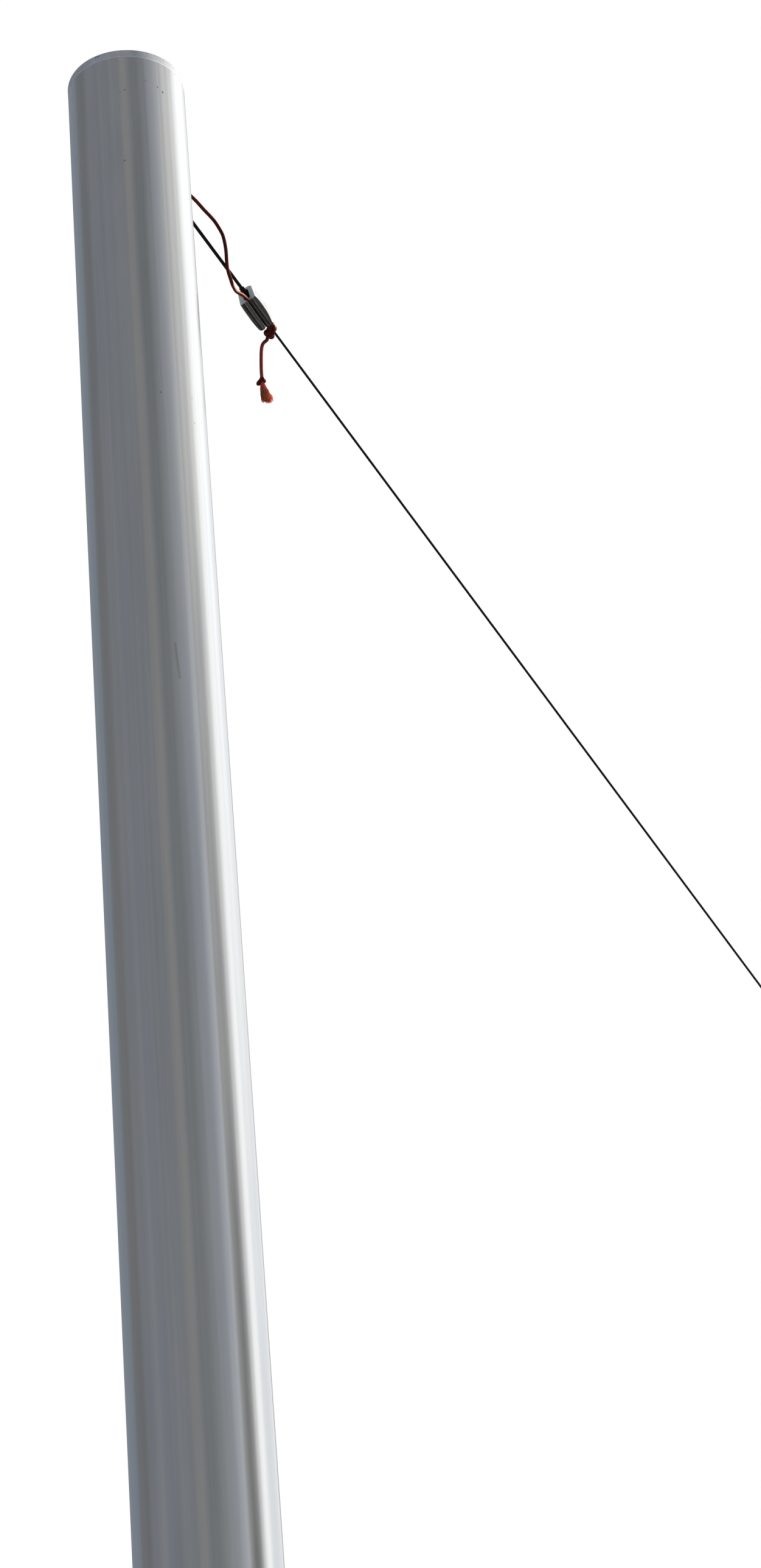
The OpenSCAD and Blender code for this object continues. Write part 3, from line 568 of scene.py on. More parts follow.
def facing(tree, direction, low, high):
    """How far a face looks along a direction or against it, from 0 at low to 1 at high."""
    normal = add(tree, "NewGeometry", output="True Normal")
    along = add(tree, "VectorMath DOT_PRODUCT", normal, direction)
    return add(tree, "MapRange", add(tree, "Math ABSOLUTE", along), low, high)


# Directions that the clamp's ground flats and its slanted end look along
CLAMP_FLAT = (0.174, -0.954, 0.246)
CLAMP_END = (-0.976, -0.133, 0.170)
# A crease drawn as a dark stroke, which is painted shade, and two rubbed patches on the clamp's sunny flat
CLAMP_MARKS = [
    ([(185.9, -8.0, 3341.5), (187.0, -8.9, 3337.1)], 0.5, "#3c3a38", 0.85),
    ([(187.0, -8.9, 3337.1), (189.6, -9.4, 3333.3)], 0.6, "#2c2a28", 0.9),
    ([(180.5, -8.6, 3345.6), (183.4, -8.4, 3342.4)], 1.1, "#6f7070", 0.6),
    ([(176.8, -9.6, 3344.0), (178.6, -9.4, 3341.4)], 0.8, "#777573", 0.5),
]


def cast_alloy():
    """Die-cast clamp with fluted cheeks, ground flats and slanted ends, its colour set by which way a face
    looks: dark olive and purple cheeks as painted reflection of the dark ground and painted shade, pale flats
    as painted sunlight, lighter ends as painted skylight.
    """
    made, tree, shader, place = material("cast_alloy_clamp", Metallic=0.92)
    # Clouds 7 mm and mottling 13 mm wide, and pits of 1 mm
    cloud = add(tree, "TexNoise", {"Vector": place, "Scale": 150, "Detail": 5, "Roughness": 0.65})
    mottle = add(tree, "TexNoise", {"Vector": place, "Scale": 75, "Detail": 3})
    pits = add(tree, "TexNoise", {"Vector": place, "Scale": 900, "Detail": 3, "Roughness": 0.6})
    # The mould left the cheeks uneven over 3 mm
    skin = add(tree, "TexNoise", {"Vector": place, "Scale": 330, "Detail": 4, "Roughness": 0.55})
    # The cheeks' dark olive, and the purple wash over it, are painted reflection of the dark ground and painted
    # shade
    colour = add(tree, "ValToRGB", cloud, stops=[(0.3, "#25241d"), (0.5, "#33312a"), (0.7, "#444138")])
    colour = washed(tree, colour, "#3e3138", mottle, 0.7)
    # The ground flats are painted pale as painted sunlight and the slanted ends a lighter tone as painted
    # skylight; the same masks make these faces smoother
    ground = facing(tree, CLAMP_FLAT, 0.93, 0.985)
    bare = facing(tree, CLAMP_END, 0.88, 0.95)
    grey = add(tree, "ValToRGB", cloud, stops=[(0.3, "#8a9197"), (0.7, "#a7adb2")])
    bright = add(tree, "ValToRGB", mottle, stops=[(0.3, "#b3b6b8"), (0.6, "#c6c8c9")])
    colour = add(tree, "Mix", {0: bare, 6: colour, 7: grey}, data_type="RGBA")
    colour = add(tree, "Mix", {0: ground, 6: colour, 7: bright}, data_type="RGBA")
    colour = marked(tree, place, colour, CLAMP_MARKS)
    edge = add(tree, "MapRange", add(tree, "NewGeometry", output="Pointiness"), 0.52, 0.6)
    colour = washed(tree, colour, "#b4b6b6", edge, 0.7)
    rough = add(tree, "MapRange", cloud, 0.3, 0.7, 0.46, 0.62)
    rough = add(tree, "Math MULTIPLY_ADD", add(tree, "Math MAXIMUM", ground, bare), -0.16, rough)
    bump = add(tree, "Bump", {"Height": pits, "Strength": 0.12, "Distance": 0.06 * MM})
    uneven = add(tree, "Math MULTIPLY_ADD", add(tree, "Math MAXIMUM", ground, bare), -0.85, 1.0)
    skin = add(tree, "Math MULTIPLY", skin, uneven)
    bump = add(tree, "Bump", {"Height": skin, "Strength": 0.7, "Distance": 1.1 * MM, "Normal": bump})
    into(tree, shader, Base_Color=colour, Roughness=rough, Normal=bump)
    return made


def black_sheath():
    """Black plastic sheath drawn over the wire rope: low sheen, greyed a little by the weather."""
    made, tree, shader, place = material("black_sheath", Metallic=0.0, IOR=1.25)
    # Greyed clouds 6 mm wide and a grain of 0.4 mm
    cloud = add(tree, "TexNoise", {"Vector": place, "Scale": 160, "Detail": 4, "Roughness": 0.6})
    colour = add(tree, "ValToRGB", cloud, stops=[(0.3, "#040506"), (0.6, "#08090a"), (0.8, "#101011")])
    rough = add(tree, "MapRange", cloud, 0.3, 0.7, 0.6, 0.75)
    grain = add(tree, "TexNoise", {"Vector": place, "Scale": 2500, "Detail": 2})
    bump = add(tree, "Bump", {"Height": grain, "Strength": 0.1, "Distance": 0.02 * MM})
    into(tree, shader, Base_Color=colour, Roughness=rough, Normal=bump)
    return made


# Where the sun stands, whose light is painted on the cord and its fibres
SUN_SIDE = (0.33, -0.78, 0.53)


def sunlit_side(tree, low, high):
    """1 where a fibre faces the sun and 0 where it faces away, where painted sunlight is laid."""
    normal = add(tree, "NewGeometry", output="Normal")
    along = add(tree, "VectorMath DOT_PRODUCT", normal, SUN_SIDE)
    return add(tree, "MapRange", along, low, high)


def braided_fibre():
    """Braided polyester cord, weathered and dark maroon, with pale salmon painted on its side towards the sun
    as painted sunlight, and stretches painted darker.
    """
    made, tree, shader, place = material(
        "braided_red_cord", Metallic=0.0, IOR=1.22, Sheen_Weight=0.03, Sheen_Roughness=0.4)
    crown = add(tree, "Attribute", attribute_name="crown", output="Fac")
    # Dirt in patches of 5 mm, yarns 0.3 mm thick
    dirt = add(tree, "TexNoise", {"Vector": place, "Scale": 220, "Detail": 4, "Roughness": 0.6})
    yarn = add(tree, "TexNoise", {"Vector": place, "Scale": 3200, "Detail": 2})
    tone = add(tree, "Math MULTIPLY_ADD", crown, 0.75, add(tree, "Math MULTIPLY", yarn, 0.25))
    painted_sun_and_dark = add(tree, "Attribute", attribute_name="painted_sun_and_dark", output="Fac")
    worn = add(tree, "Attribute", attribute_name="worn", output="Fac")
    colour = add(tree, "ValToRGB", tone, stops=[(0.35, "#2a0806"), (0.65, "#450f0b"), (0.95, "#5c1610")])
    colour = washed(tree, colour, "#2c0b08", dirt, 0.5)
    colour = washed(tree, colour, "#7a3328", worn, add(tree, "Math MULTIPLY", tone, 0.9))
    # Below 0 the cord is painted darker towards near black: painted shade where it runs inside the clamp
    darkened = add(tree, "Math MULTIPLY", painted_sun_and_dark, -0.92, use_clamp=True)
    colour = add(tree, "Mix", {0: darkened, 6: colour, 7: "#080505"}, data_type="RGBA")
    painted_sun_and_dark = add(tree, "Math MAXIMUM", painted_sun_and_dark, 0.0)
    # The more sunlight is painted on a stretch, the further round it the painted salmon reaches
    low = add(tree, "Math MULTIPLY_ADD", painted_sun_and_dark, -0.56, 0.84)
    high = add(tree, "Math MULTIPLY_ADD", painted_sun_and_dark, 0.14, add(tree, "Math ADD", low, 0.2))
    painted_sunlit_side = sunlit_side(tree, low, high)
    painted_sunlit_side = add(tree, "Math MULTIPLY", painted_sunlit_side, add(tree, "Math MULTIPLY_ADD", painted_sun_and_dark, 0.5, 0.45))
    crowns = add(tree, "Math MULTIPLY_ADD", tone, 0.45, 0.55)
    painted_sunlit_side = add(tree, "Math MULTIPLY", painted_sunlit_side, crowns, use_clamp=True)
    # Where little sunlight is painted it lies in flecks of 1 mm, where much is painted the stretch is pale all
    # over
    flecks = add(tree, "TexNoise", {"Vector": place, "Scale": 900, "Detail": 3})
    flecks = add(tree, "Math MULTIPLY_ADD", tone, 0.6, add(tree, "Math MULTIPLY", flecks, 0.55))
    flecks = add(tree, "MapRange", flecks, 0.5, 0.85)
    flecks = add(tree, "Math ADD", flecks, add(tree, "Math POWER", painted_sun_and_dark, 6), use_clamp=True)
    # Painted sunlight: pale salmon over the side towards the sun
    colour = washed(tree, colour, "#f2a48c", painted_sunlit_side, flecks)
    bump = add(tree, "Bump", {"Height": yarn, "Strength": 0.4, "Distance": 0.1 * MM})
    rough = add(tree, "MapRange", dirt, 0.3, 0.7, 0.75, 0.92)
    into(tree, shader, Base_Color=colour, Roughness=rough, Normal=bump)
    return made


def frayed_fibre():
    """Loose polyester fibres of the same cord: maroon at the knot, brown below, orange at the tips, with
    painted sunlight on the side towards the sun.
    """
    made, tree, shader, place = material("frayed_red_fibre", Metallic=0.0, IOR=1.3, Sheen_Weight=0.03)
    far = add(tree, "Attribute", attribute_name="far", output="Fac")
    # Tufts of 3 mm differ, and those on the side towards the sun are painted in lighter, oranger tones, as
    # painted sunlight
    patch = add(tree, "TexNoise", {"Vector": place, "Scale": 380, "Detail": 3})
    tone = add(tree, "Math MULTIPLY_ADD", far, 0.85, add(tree, "Math MULTIPLY", patch, 0.22))
    side = add(tree, "VectorMath DOT_PRODUCT", place, tuple(KNOT_RIGHT))
    lit = float(TAIL_KNOT @ KNOT_RIGHT) * MM
    lit = add(tree, "MapRange", side, lit + 4 * MM, lit + 9 * MM)
    dull = add(tree, "ValToRGB", tone, stops=[
        (0.1, "#6a161b"), (0.36, "#ab3338"), (0.54, "#9a3a30"), (0.68, "#74472a"), (0.85, "#7c4a27"),
        (0.97, "#a5502c")])
    painted_sunlit_fibre = add(tree, "ValToRGB", tone, stops=[
        (0.1, "#6a161b"), (0.36, "#b0383a"), (0.62, "#9a4a2c"), (0.8, "#bb5230"), (0.97, "#ee6a40")])
    colour = add(tree, "Mix", {0: lit, 6: dull, 7: painted_sunlit_fibre}, data_type="RGBA")
    # A salmon wash on the fibres that face the sun is painted sunlight too
    colour = washed(tree, colour, "#d77a63", sunlit_side(tree, 0.5, 1.0), 0.35)
    rough = add(tree, "MapRange", patch, 0.3, 0.7, 0.7, 0.9)
    into(tree, shader, Base_Color=colour, Roughness=rough)
    return made


finish = {
    "pole_aluminium": drawn_aluminium(),
    "cap_aluminium": turned_aluminium(),
    "base_steel": galvanised_steel(),
    "fitting_steel": satin_stainless(),
    "clamp_alloy": cast_alloy(),
    "wire_black": black_sheath(),
    "cord_red": braided_fibre(),
    "tassel_red": frayed_fibre(),
}


def wire_rope_tree():
    """Strands laid round a path under a sheath that fills their grooves, so that a faint lay is left."""
    tree, given, out = tree_with("wire_rope", {
        "Rope Diameter": "Float", "Strands": "Int", "Lay": "Float", "Step": "Float", "Sheath": "Float",
        "Material": "Material",
    })
    path = add(tree, "GeometryNodeMeshToCurve", {"Mesh": given["Geometry"]})
    path = add(tree, "GeometryNodeResampleCurve", {"Curve": path, "Length": given["Step"]}, mode="LENGTH")
    strands = add(tree, "GeometryNodeDuplicateElements", {"Geometry": path, "Amount": given["Strands"]},
                  domain="SPLINE")
    share = add(tree, "Math DIVIDE", strands.node.outputs["Duplicate Index"], given["Strands"])
    wound = add(tree, "Math DIVIDE", add(tree, "GeometryNodeSplineParameter", output="Length"), given["Lay"])
    angle = add(tree, "Math MULTIPLY", add(tree, "Math ADD", share, wound), 2 * math.pi)
    normal = add(tree, "GeometryNodeInputNormal")
    tangent = add(tree, "GeometryNodeInputTangent")
    binormal = add(tree, "VectorMath CROSS_PRODUCT", tangent, normal)
    reach = add(tree, "Math DIVIDE", given["Rope Diameter"], 3)
    across = add(tree, "Math MULTIPLY", add(tree, "Math COSINE", angle), reach)
    across = add(tree, "VectorMath SCALE", normal, {"Scale": across})
    aside = add(tree, "Math MULTIPLY", add(tree, "Math SINE", angle), reach)
    aside = add(tree, "VectorMath SCALE", binormal, {"Scale": aside})
    offset = add(tree, "VectorMath ADD", across, aside)
    laid = add(tree, "GeometryNodeSetPosition", {"Geometry": strands, "Offset": offset})
    section = add(tree, "GeometryNodeCurvePrimitiveCircle", {
        "Resolution": 5, "Radius": add(tree, "Math DIVIDE", given["Rope Diameter"], 6)})
    tubes = add(tree, "GeometryNodeCurveToMesh", {"Curve": laid, "Profile Curve": section, "Fill Caps": True})
    skin = add(tree, "GeometryNodeCurvePrimitiveCircle", {"Resolution": 10, "Radius": given["Sheath"]})
    sheath = add(tree, "GeometryNodeCurveToMesh", {"Curve": path, "Profile Curve": skin, "Fill Caps": True})
    both = add(tree, "GeometryNodeJoinGeometry")
    for part in (tubes, sheath):
        tree.links.new(part, both.node.inputs[0])
    tubes = add(tree, "GeometryNodeRealizeInstances", {"Geometry": both})
    tubes = add(tree, "GeometryNodeSetMaterial", {"Geometry": tubes, "Material": given["Material"]})
    tree.links.new(tubes, out)
    return tree


# The stay's wire, with the sizes that the solids have
strand = WIRE_D / 2 + WIRE_GAP
bend_r = (LUG_T + WIRE_D) / 2 + 2 * WIRE_GAP
bend_at = LUG_X / math.cos(STAY_SLOPE) + STAY_HOLE / 2 - WIRE_D / 2 - WIRE_GAP + bend_r
lug_edge = LUG_X / math.cos(STAY_SLOPE) + STAY_HOLE / 2 + LUG_RIM + WIRE_GAP
sleeve_at, sleeve_l = lug_edge + 4.5, 7
anchor_at = (STAY_Z - strand * math.cos(STAY_SLOPE) - ANCHOR_HOLE_H) / math.sin(STAY_SLOPE)
eye_at = BODY_AT + BODY_L + 26
thimble_at = eye_at + EYE_R + THIMBLE_R - THIMBLE_WALL - EYE_ROD / 2 - 0.6
loop_r, loop_tip = THIMBLE_R + strand, 24
grip_at, grip_l = thimble_at + loop_tip + 4, 18
loop_lean = math.asin(loop_r / math.hypot(loop_tip + 4, strand)) - math.atan(strand / (loop_tip + 4))


def on_leg(t, leg_turn, side):
    """A point of the doubled wire between the pad eye and the clamp."""
    return on_stay(t, side * strand * math.cos(leg_turn), side * strand * math.sin(leg_turn))


wire_points = [
    on_leg(CLAMP_AT + 0.45 * CLAMP_L, LEG_TURN, 1), on_leg(sleeve_at + sleeve_l, LEG_TURN, 1),
    on_leg(sleeve_at + sleeve_l / 2, LEG_TURN / 2, 1), on_leg(sleeve_at, 0, 1), on_stay(lug_edge, bend_r),
]
for i in range(11):
    w = math.radians(90 - 18 * i)
    wire_points.append(on_stay(bend_at - bend_r * math.cos(w), bend_r * math.sin(w)))
wire_points += [
    on_stay(lug_edge, -bend_r), on_leg(sleeve_at, 0, -1), on_leg(sleeve_at + sleeve_l / 2, LEG_TURN / 2, -1),
    on_leg(sleeve_at + sleeve_l, LEG_TURN, -1), on_leg(CLAMP_AT + 0.15 * CLAMP_L, LEG_TURN, -1),
    on_stay(CLAMP_AT + 0.5 * CLAMP_L), on_stay(anchor_at - grip_at - grip_l - 4), on_stay(anchor_at - grip_at),
]
for i in range(19):
    w = (math.pi / 2 + loop_lean) * (1 - i / 9)
    wire_points.append(on_stay(anchor_at - thimble_at + loop_r * math.cos(w), 0, loop_r * math.sin(w) - strand))
wire_points += [
    on_stay(anchor_at - grip_at, 0, -2 * strand), on_stay(anchor_at - grip_at - grip_l - 4, 0, -2 * strand),
]
wire = baked_nodes(
    "stay_wire_rope", polyline("wire_path", wire_points), wire_rope_tree(),
    {"Rope Diameter": WIRE_D * MM, "Strands": 6, "Lay": 26 * MM, "Step": 2.8 * MM, "Sheath": 1.22 * MM,
     "Material": finish["wire_black"]})
wire.data.polygons.foreach_set("use_smooth", [True] * len(wire.data.polygons))


def tassel_tree():
    """Loose fibres that leave a knot together, spread and wander as they go down."""
    tree, given, out = tree_with("frayed_end", {
        "Fibres": "Int", "Length": "Float", "Spread": "Float", "Fibre Diameter": "Float", "Seed": "Int",
        "Tuft": "Int", "Material": "Material",
    })
    path = add(tree, "GeometryNodeMeshToCurve", {"Mesh": given["Geometry"]})
    path = add(tree, "GeometryNodeResampleCurve", {"Curve": path, "Count": 14}, mode="COUNT")
    fibres = add(tree, "GeometryNodeDuplicateElements", {"Geometry": path, "Amount": given["Fibres"]},
                 domain="SPLINE")
    index = fibres.node.outputs["Duplicate Index"]
    along = add(tree, "GeometryNodeSplineParameter", output="Factor")
    tuft = add(tree, "Math FLOOR", add(tree, "Math DIVIDE", index, given["Tuft"]))

    def drawn_for(group, low, high, shift):
        """A random number for each fibre or each tuft."""
        seed = add(tree, "Math ADD", given["Seed"], shift)
        span = {2: low, 3: high, "ID": group, "Seed": seed}
        return add(tree, "FunctionNodeRandomValue", span, data_type="FLOAT")

    angle = add(tree, "Math ADD", drawn_for(tuft, 0, 2 * math.pi, 0), drawn_for(index, -0.5, 0.5, 3))
    away = add(tree, "Math SQRT", drawn_for(tuft, 0.02, 1, 11))
    away = add(tree, "Math ADD", away, drawn_for(index, -0.16, 0.16, 17))
    away = add(tree, "Math MULTIPLY", away, given["Spread"])
    open_out = add(tree, "Math MULTIPLY_ADD", add(tree, "Math POWER", along, 0.9), 0.72, 0.28)
    away = add(tree, "Math MULTIPLY", away, open_out)
    shorter = add(tree, "Math ADD", drawn_for(tuft, 0, 0.14, 23), drawn_for(index, 0, 0.1, 29))
    shorter = add(tree, "Math MULTIPLY", add(tree, "Math MULTIPLY", shorter, given["Length"]), along)
    wander = add(tree, "Math MULTIPLY", along, 1.6)
    wander = add(tree, "CombineXYZ", wander, add(tree, "Math MULTIPLY", index, 3.7))
    wander = add(tree, "TexNoise", {"Vector": wander, "Scale": 1.6, "Detail": 2}, output="Color")
    wander = add(tree, "VectorMath SUBTRACT", wander, (0.5, 0.5, 0.5))
    wander = add(tree, "VectorMath SCALE", wander, {"Scale": add(tree, "Math MULTIPLY", along, 5 * MM)})
    across = add(tree, "Math MULTIPLY", away, add(tree, "Math COSINE", angle))
    aside = add(tree, "Math MULTIPLY", away, add(tree, "Math SINE", angle))
    aside = add(tree, "CombineXYZ", across, aside, shorter)
    offset = add(tree, "VectorMath ADD", aside, wander)
    combed = add(tree, "GeometryNodeSetPosition", {"Geometry": fibres, "Offset": offset})
    combed = add(tree, "GeometryNodeStoreNamedAttribute", {"Geometry": combed, "Name": "far", "Value": along})
    section = add(tree, "GeometryNodeCurvePrimitiveCircle", {
        "Resolution": 4, "Radius": add(tree, "Math MULTIPLY", given["Fibre Diameter"], 0.5)})
    tubes = add(tree, "GeometryNodeCurveToMesh", {"Curve": combed, "Profile Curve": section, "Fill Caps": True})
    tubes = add(tree, "GeometryNodeRealizeInstances", {"Geometry": tubes})
    tubes = add(tree, "GeometryNodeSetMaterial", {"Geometry": tubes, "Material": given["Material"]})
    tree.links.new(tubes, out)
    return tree


tassel_top = TAIL_KNOT + [0.1, 0, -2.4]
tassel_route = tassel_top + np.array([(0, 0, 0), (0.3, -0.4, -7), (1.0, -1.4, -15.5), (2.1, -2.9, -25)])
tassel_path, _ = smooth_route(tassel_route, 2)
tassel = baked_nodes(
    "frayed_tassel", polyline("tassel_path", tassel_path), tassel_tree(),
    {"Fibres": 560, "Length": 25 * MM, "Spread": 5.6 * MM, "Fibre Diameter": 0.38 * MM, "Seed": 5, "Tuft": 20,
     "Material": finish["tassel_red"]})


def rounded_copy(node, width):
    """A copy of a solid's mesh with its sharp edges broken, as a real edge is."""
    work = bmesh.new()
    work.from_mesh(nodes[node].data)
    bmesh.ops.remove_doubles(work, verts=work.verts, dist=2e-6)
    bmesh.ops.dissolve_limit(work, angle_limit=math.radians(0.05), verts=work.verts, edges=work.edges)
    sharp = [e for e in work.edges if e.is_manifold and e.calc_face_angle() > math.radians(32)]
    bmesh.ops.bevel(work, geom=sharp, offset=width * MM, offset_type="OFFSET", segments=2, profile=0.5,
                    affect="EDGES", clamp_overlap=True)
    made = bpy.data.meshes.new(node + "_finished")
    work.to_mesh(made)
    work.free()
    made.polygons.foreach_set("use_smooth", [True] * len(made.polygons))
    made.set_sharp_from_angle(angle=math.radians(40))
    piece = placed(made.name, made)
    even = piece.modifiers.new("even_shading", "WEIGHTED_NORMAL")
    even.keep_sharp, even.weight = True, 100
    whole = piece.evaluated_get(bpy.context.evaluated_depsgraph_get())
    shaded = bpy.data.meshes.new_from_object(whole)
    piece.modifiers.remove(even)
    piece.data = shaded
    return piece


# How wide each solid's edges are broken, in millimetres
EDGES = {
    "pole_cap": 0.3, "base_flange": 1.2, "gusset_1": 0.8, "gusset_2": 0.8, "gusset_3": 0.8, "gusset_4": 0.8,
    "pad_saddle": 0.5, "pad_lug": 0.5, "upper_ferrule": 0.25, "stay_collar": 0.15, "stay_clamp": 0.35,
    "lower_ferrule": 0.3, "lower_thimble": 0.15, "upper_lock_nut": 0.4, "turnbuckle_body": 0.8,
    "lower_lock_nut": 0.4, "turnbuckle_jaw": 0.6, "jaw_pin": 0.3, "anchor_lug": 0.8, "anchor_plate": 1.2,
}
slots = {s["node"]: s["material_slot"] for s in frame["record"]["subparts"]}
for node, width in EDGES.items():
    piece = rounded_copy(node, width)
    piece.data.materials.append(finish[slots[node]])
    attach(piece, "root")
    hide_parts(node)

for node in ("pole_tube", "base_weld", "pad_rivets", "turnbuckle_eye", "split_pin"):
    kept = nodes[node].data
    kept.materials.clear()
    kept.materials.append(finish[slots[node]])
    kept.polygons.foreach_set("use_smooth", [True] * len(kept.polygons))

wire_and_cord = [
    (wire, "wire_black", ["stay_wire"]),
    (cord, "cord_red", ["cord_run", "cord_tail"]),
    (cord_loop, "cord_red", ["cord_loop"]),
    (cord_whip, "cord_red", []),
    (hitch_turns, "cord_red", ["cord_hitch"]),
    (hitch_cross, "cord_red", []),
    (knot_turns, "cord_red", ["tail_knot"]),
    (tassel, "tassel_red", ["tassel"]),
]
for piece, name, replaced in wire_and_cord:
    piece.data.materials.clear()
    piece.data.materials.append(finish[name])
    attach(piece, "root")
    if replaced:
        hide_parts(*replaced)


# Floor, backdrop and light


def seen_rays(tree):
    """1 for rays from the camera, a mirror or glass, and 0 for the rays that light the object."""
    rays = add(tree, "LightPath").node.outputs
    seen = add(tree, "Math MAXIMUM", rays["Is Glossy Ray"], rays["Is Transmission Ray"])
    return add(tree, "Math MAXIMUM", rays["Is Camera Ray"], seen)


def only_reflected(backdrop):
    """Keeps a backdrop out of sight except in reflections."""
    backdrop.visible_camera = backdrop.visible_diffuse = False
    backdrop.visible_shadow = backdrop.visible_transmission = False


# The floor lies 0.6 mm under the flange, so that their faces don't meet
bpy.ops.mesh.primitive_plane_add(size=40, location=(2.9, 0, -0.6 * MM))
floor = bpy.context.object
floor.name = "floor"
floor_paint, tree, shader, place = material("pale_floor", Roughness=0.9)
cloud = add(tree, "TexNoise", {"Vector": place, "Scale": 3, "Detail": 3})
into(tree, shader, Base_Color=add(tree, "ValToRGB", cloud, stops=[(0.3, "#e4e4e3"), (0.7, "#ecebea")]))
# Far from the object the floor fades into the white background
far = add(tree, "VectorMath LENGTH", place)
far = add(tree, "MapRange", far, 4.0, 9.0, interpolation_type="SMOOTHSTEP")
white = add(tree, "Emission", {"Color": (1, 1, 1, 1), "Strength": 1.0})
mixed = add(tree, "MixShader", add(tree, "Math MULTIPLY", far, seen_rays(tree)), shader.outputs[0], white)
tree.links.new(mixed, tree.nodes["Material Output"].inputs["Surface"])
floor.data.materials.append(floor_paint)

world = bpy.data.worlds.new("studio")
bpy.context.scene.world = world
world.use_nodes = True
tree = world.node_tree
strength = add(tree, "MapRange", seen_rays(tree), {3: 0.5, 4: 1.0})
tree.links.new(strength, tree.nodes["Background"].inputs["Strength"])
tree.nodes["Background"].inputs["Color"].default_value = (1, 1, 1, 1)

# A round studio wall, seen only in reflections: grey where the sky is dull, white on the sunny side
WALL_R, WALL_LOW, WALL_HIGH = 8, -0.5, 15
BRIGHTEST = 3
# Brightness by bearing, high on the wall and low on it
WALL_TONES = {
    "high": [
        (-180, 0.40), (-141, 0.40), (-122, 0.34), (-108, 0.38), (-98, 0.55), (-84, 0.68), (-74, 0.88),
        (-62, 1.12), (-48, 1.14), (-38, 1.50), (-28, 2.20), (-12, 2.30), (0, 1.80), (8, 1.44), (18, 1.36),
        (25, 0.45), (38, 0.52), (62, 0.36), (84, 0.50), (120, 0.37), (150, 0.41), (180, 0.40),
    ],
    "low": [
        (-180, 0.42), (-141, 0.42), (-112, 0.42), (-100, 0.52), (-88, 0.60), (-78, 0.98), (-71, 0.92),
        (-67, 0.20), (-57, 0.20), (-52, 0.50), (-45, 1.00), (-40, 2.10), (-30, 2.10), (-22, 1.48), (8, 1.40),
        (18, 1.32), (25, 0.45), (38, 0.54), (62, 0.38), (84, 0.52), (120, 0.38), (150, 0.46), (180, 0.42),
    ],
}
# Its colour by bearing
WALL_TINTS = [
    (-180, "#f7fafd"), (-130, "#ffffff"), (-95, "#f6fafe"), (-75, "#ffffff"), (-55, "#fffcf6"),
    (-30, "#fffdf9"), (20, "#ffffff"), (50, "#e9f2fc"), (90, "#e6f0fb"), (130, "#f3f7fc"), (180, "#f7fafd"),
]
WALL_SIDES = 96
wall_points = [
    (WALL_R / MM * math.cos(w), WALL_R / MM * math.sin(w), z / MM)
    for w in np.linspace(0, 2 * math.pi, WALL_SIDES + 1) for z in (WALL_LOW, WALL_HIGH)
]
wall_faces = [(2 * k + 1, 2 * k + 3, 2 * k + 2, 2 * k) for k in range(WALL_SIDES)]
wall = mesh_object("studio_wall", wall_points, wall_faces)
wall_paint, tree, place = light_material("studio_wall_light")
place = add(tree, "SeparateXYZ", place).node.outputs
bearing = add(tree, "Math DEGREES", add(tree, "Math ARCTAN2", place["Y"], place["X"]))
share = add(tree, "MapRange", bearing, -180, 180)


def toned(stops):
    """A brightness curve over the bearing."""
    tone = add(tree, "FloatCurve", {"Value": share})
    curve = tone.node.mapping.curves[0]
    while len(curve.points) < len(stops):
        curve.points.new(0.5, 0.5)
    for point, (angle, value) in zip(curve.points, stops):
        point.location = ((angle + 180) / 360, value / BRIGHTEST)
        point.handle_type = "VECTOR"
    tone.node.mapping.update()
    return add(tree, "Math MULTIPLY", tone, BRIGHTEST)


lift = add(tree, "MapRange", place["Z"], 4.2, 9.4)
glow = add(tree, "Mix", lift, {2: toned(WALL_TONES["low"]), 3: toned(WALL_TONES["high"])})
tint = add(tree, "ValToRGB", share, stops=[((angle + 180) / 360, colour) for angle, colour in WALL_TINTS])
light = add(tree, "Emission", {"Color": tint, "Strength": glow})
add(tree, "OutputMaterial", {"Surface": light})
wall.data.materials.append(wall_paint)
only_reflected(wall)

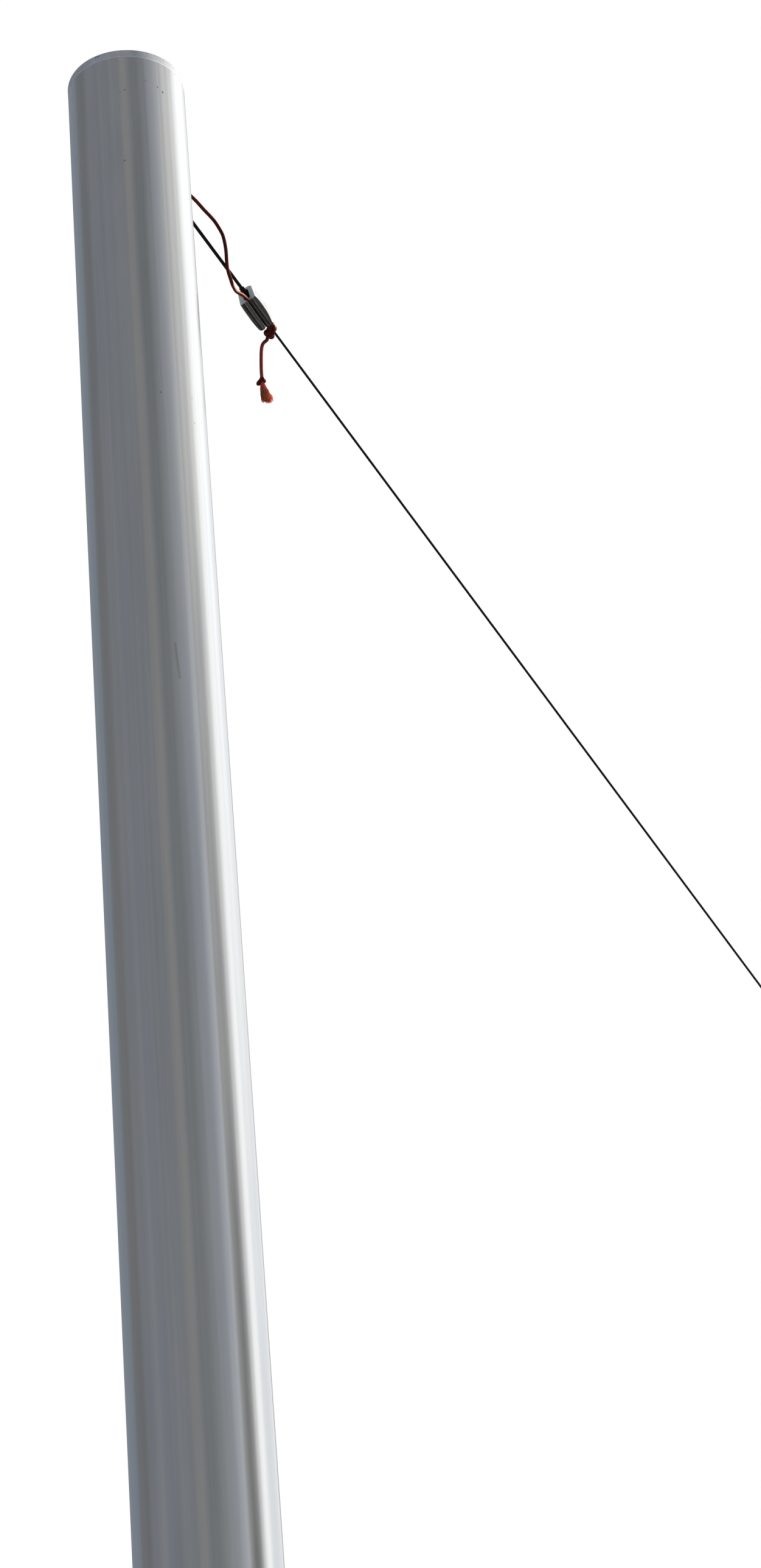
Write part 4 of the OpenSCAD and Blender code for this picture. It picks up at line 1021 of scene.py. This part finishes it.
# Dark ground round the pole, seen only in reflections: faces of the fittings that look down mirror it.
# A reflected ray that starts low on the pole passes through it to the floor.
GROUND_R, LOW_START, HIGH_START = 4.4, 2.3, 2.9
bpy.ops.mesh.primitive_circle_add(vertices=64, radius=GROUND_R, fill_type="NGON", location=(0.2, 0, -0.3 * MM))
ground = bpy.context.object
ground.name = "dark_ground"
ground_paint, tree, place = light_material("dark_ground_light")
soil = add(tree, "TexNoise", {"Vector": place, "Scale": 1.1, "Detail": 4})
soil = add(tree, "ValToRGB", soil, stops=[(0.3, "#2d2a24"), (0.7, "#454037")])
soil = add(tree, "Emission", {"Color": soil})
away = add(tree, "VectorMath LENGTH", place)
travelled = add(tree, "LightPath", output="Ray Length")
start = add(tree, "Math SUBTRACT", add(tree, "Math POWER", travelled, 2.0), add(tree, "Math POWER", away, 2.0))
start = add(tree, "MapRange", start, LOW_START ** 2, HIGH_START ** 2, interpolation_type="SMOOTHSTEP")
near = add(tree, "MapRange", away, GROUND_R - 0.2, 2.8, interpolation_type="SMOOTHSTEP")
clear = add(tree, "BsdfTransparent")
mixed = add(tree, "MixShader", add(tree, "Math MULTIPLY", start, near), clear, soil)
add(tree, "OutputMaterial", {"Surface": mixed})
ground.data.materials.append(ground_paint)
only_reflected(ground)


LAMPS_AIM = Vector((0.1, 0, 3.2))


def lamp(name, towards, distance, size, power, colour):
    """A soft area lamp that shines on the pole's top from a bearing and a height in degrees."""
    bearing, rise = (math.radians(a) for a in towards)
    made = placed(name, bpy.data.lights.new(name, "AREA"))
    made.data.shape, made.data.size, made.data.energy, made.data.color = "DISK", size, power, colour
    away = Vector((math.cos(rise) * math.cos(bearing), math.cos(rise) * math.sin(bearing), math.sin(rise)))
    made.location = LAMPS_AIM + distance * away
    made.rotation_euler = away.to_track_quat("Z", "Y").to_euler()
    made.visible_glossy = False


lamp("key", (-40, 35), 6, 2.5, 600, (1, 0.98, 0.94))
lamp("fill", (170, 30), 7, 5.0, 120, (0.93, 0.97, 1))

bpy.context.scene.view_settings.view_transform = "Standard"
bpy.context.view_layer.update()
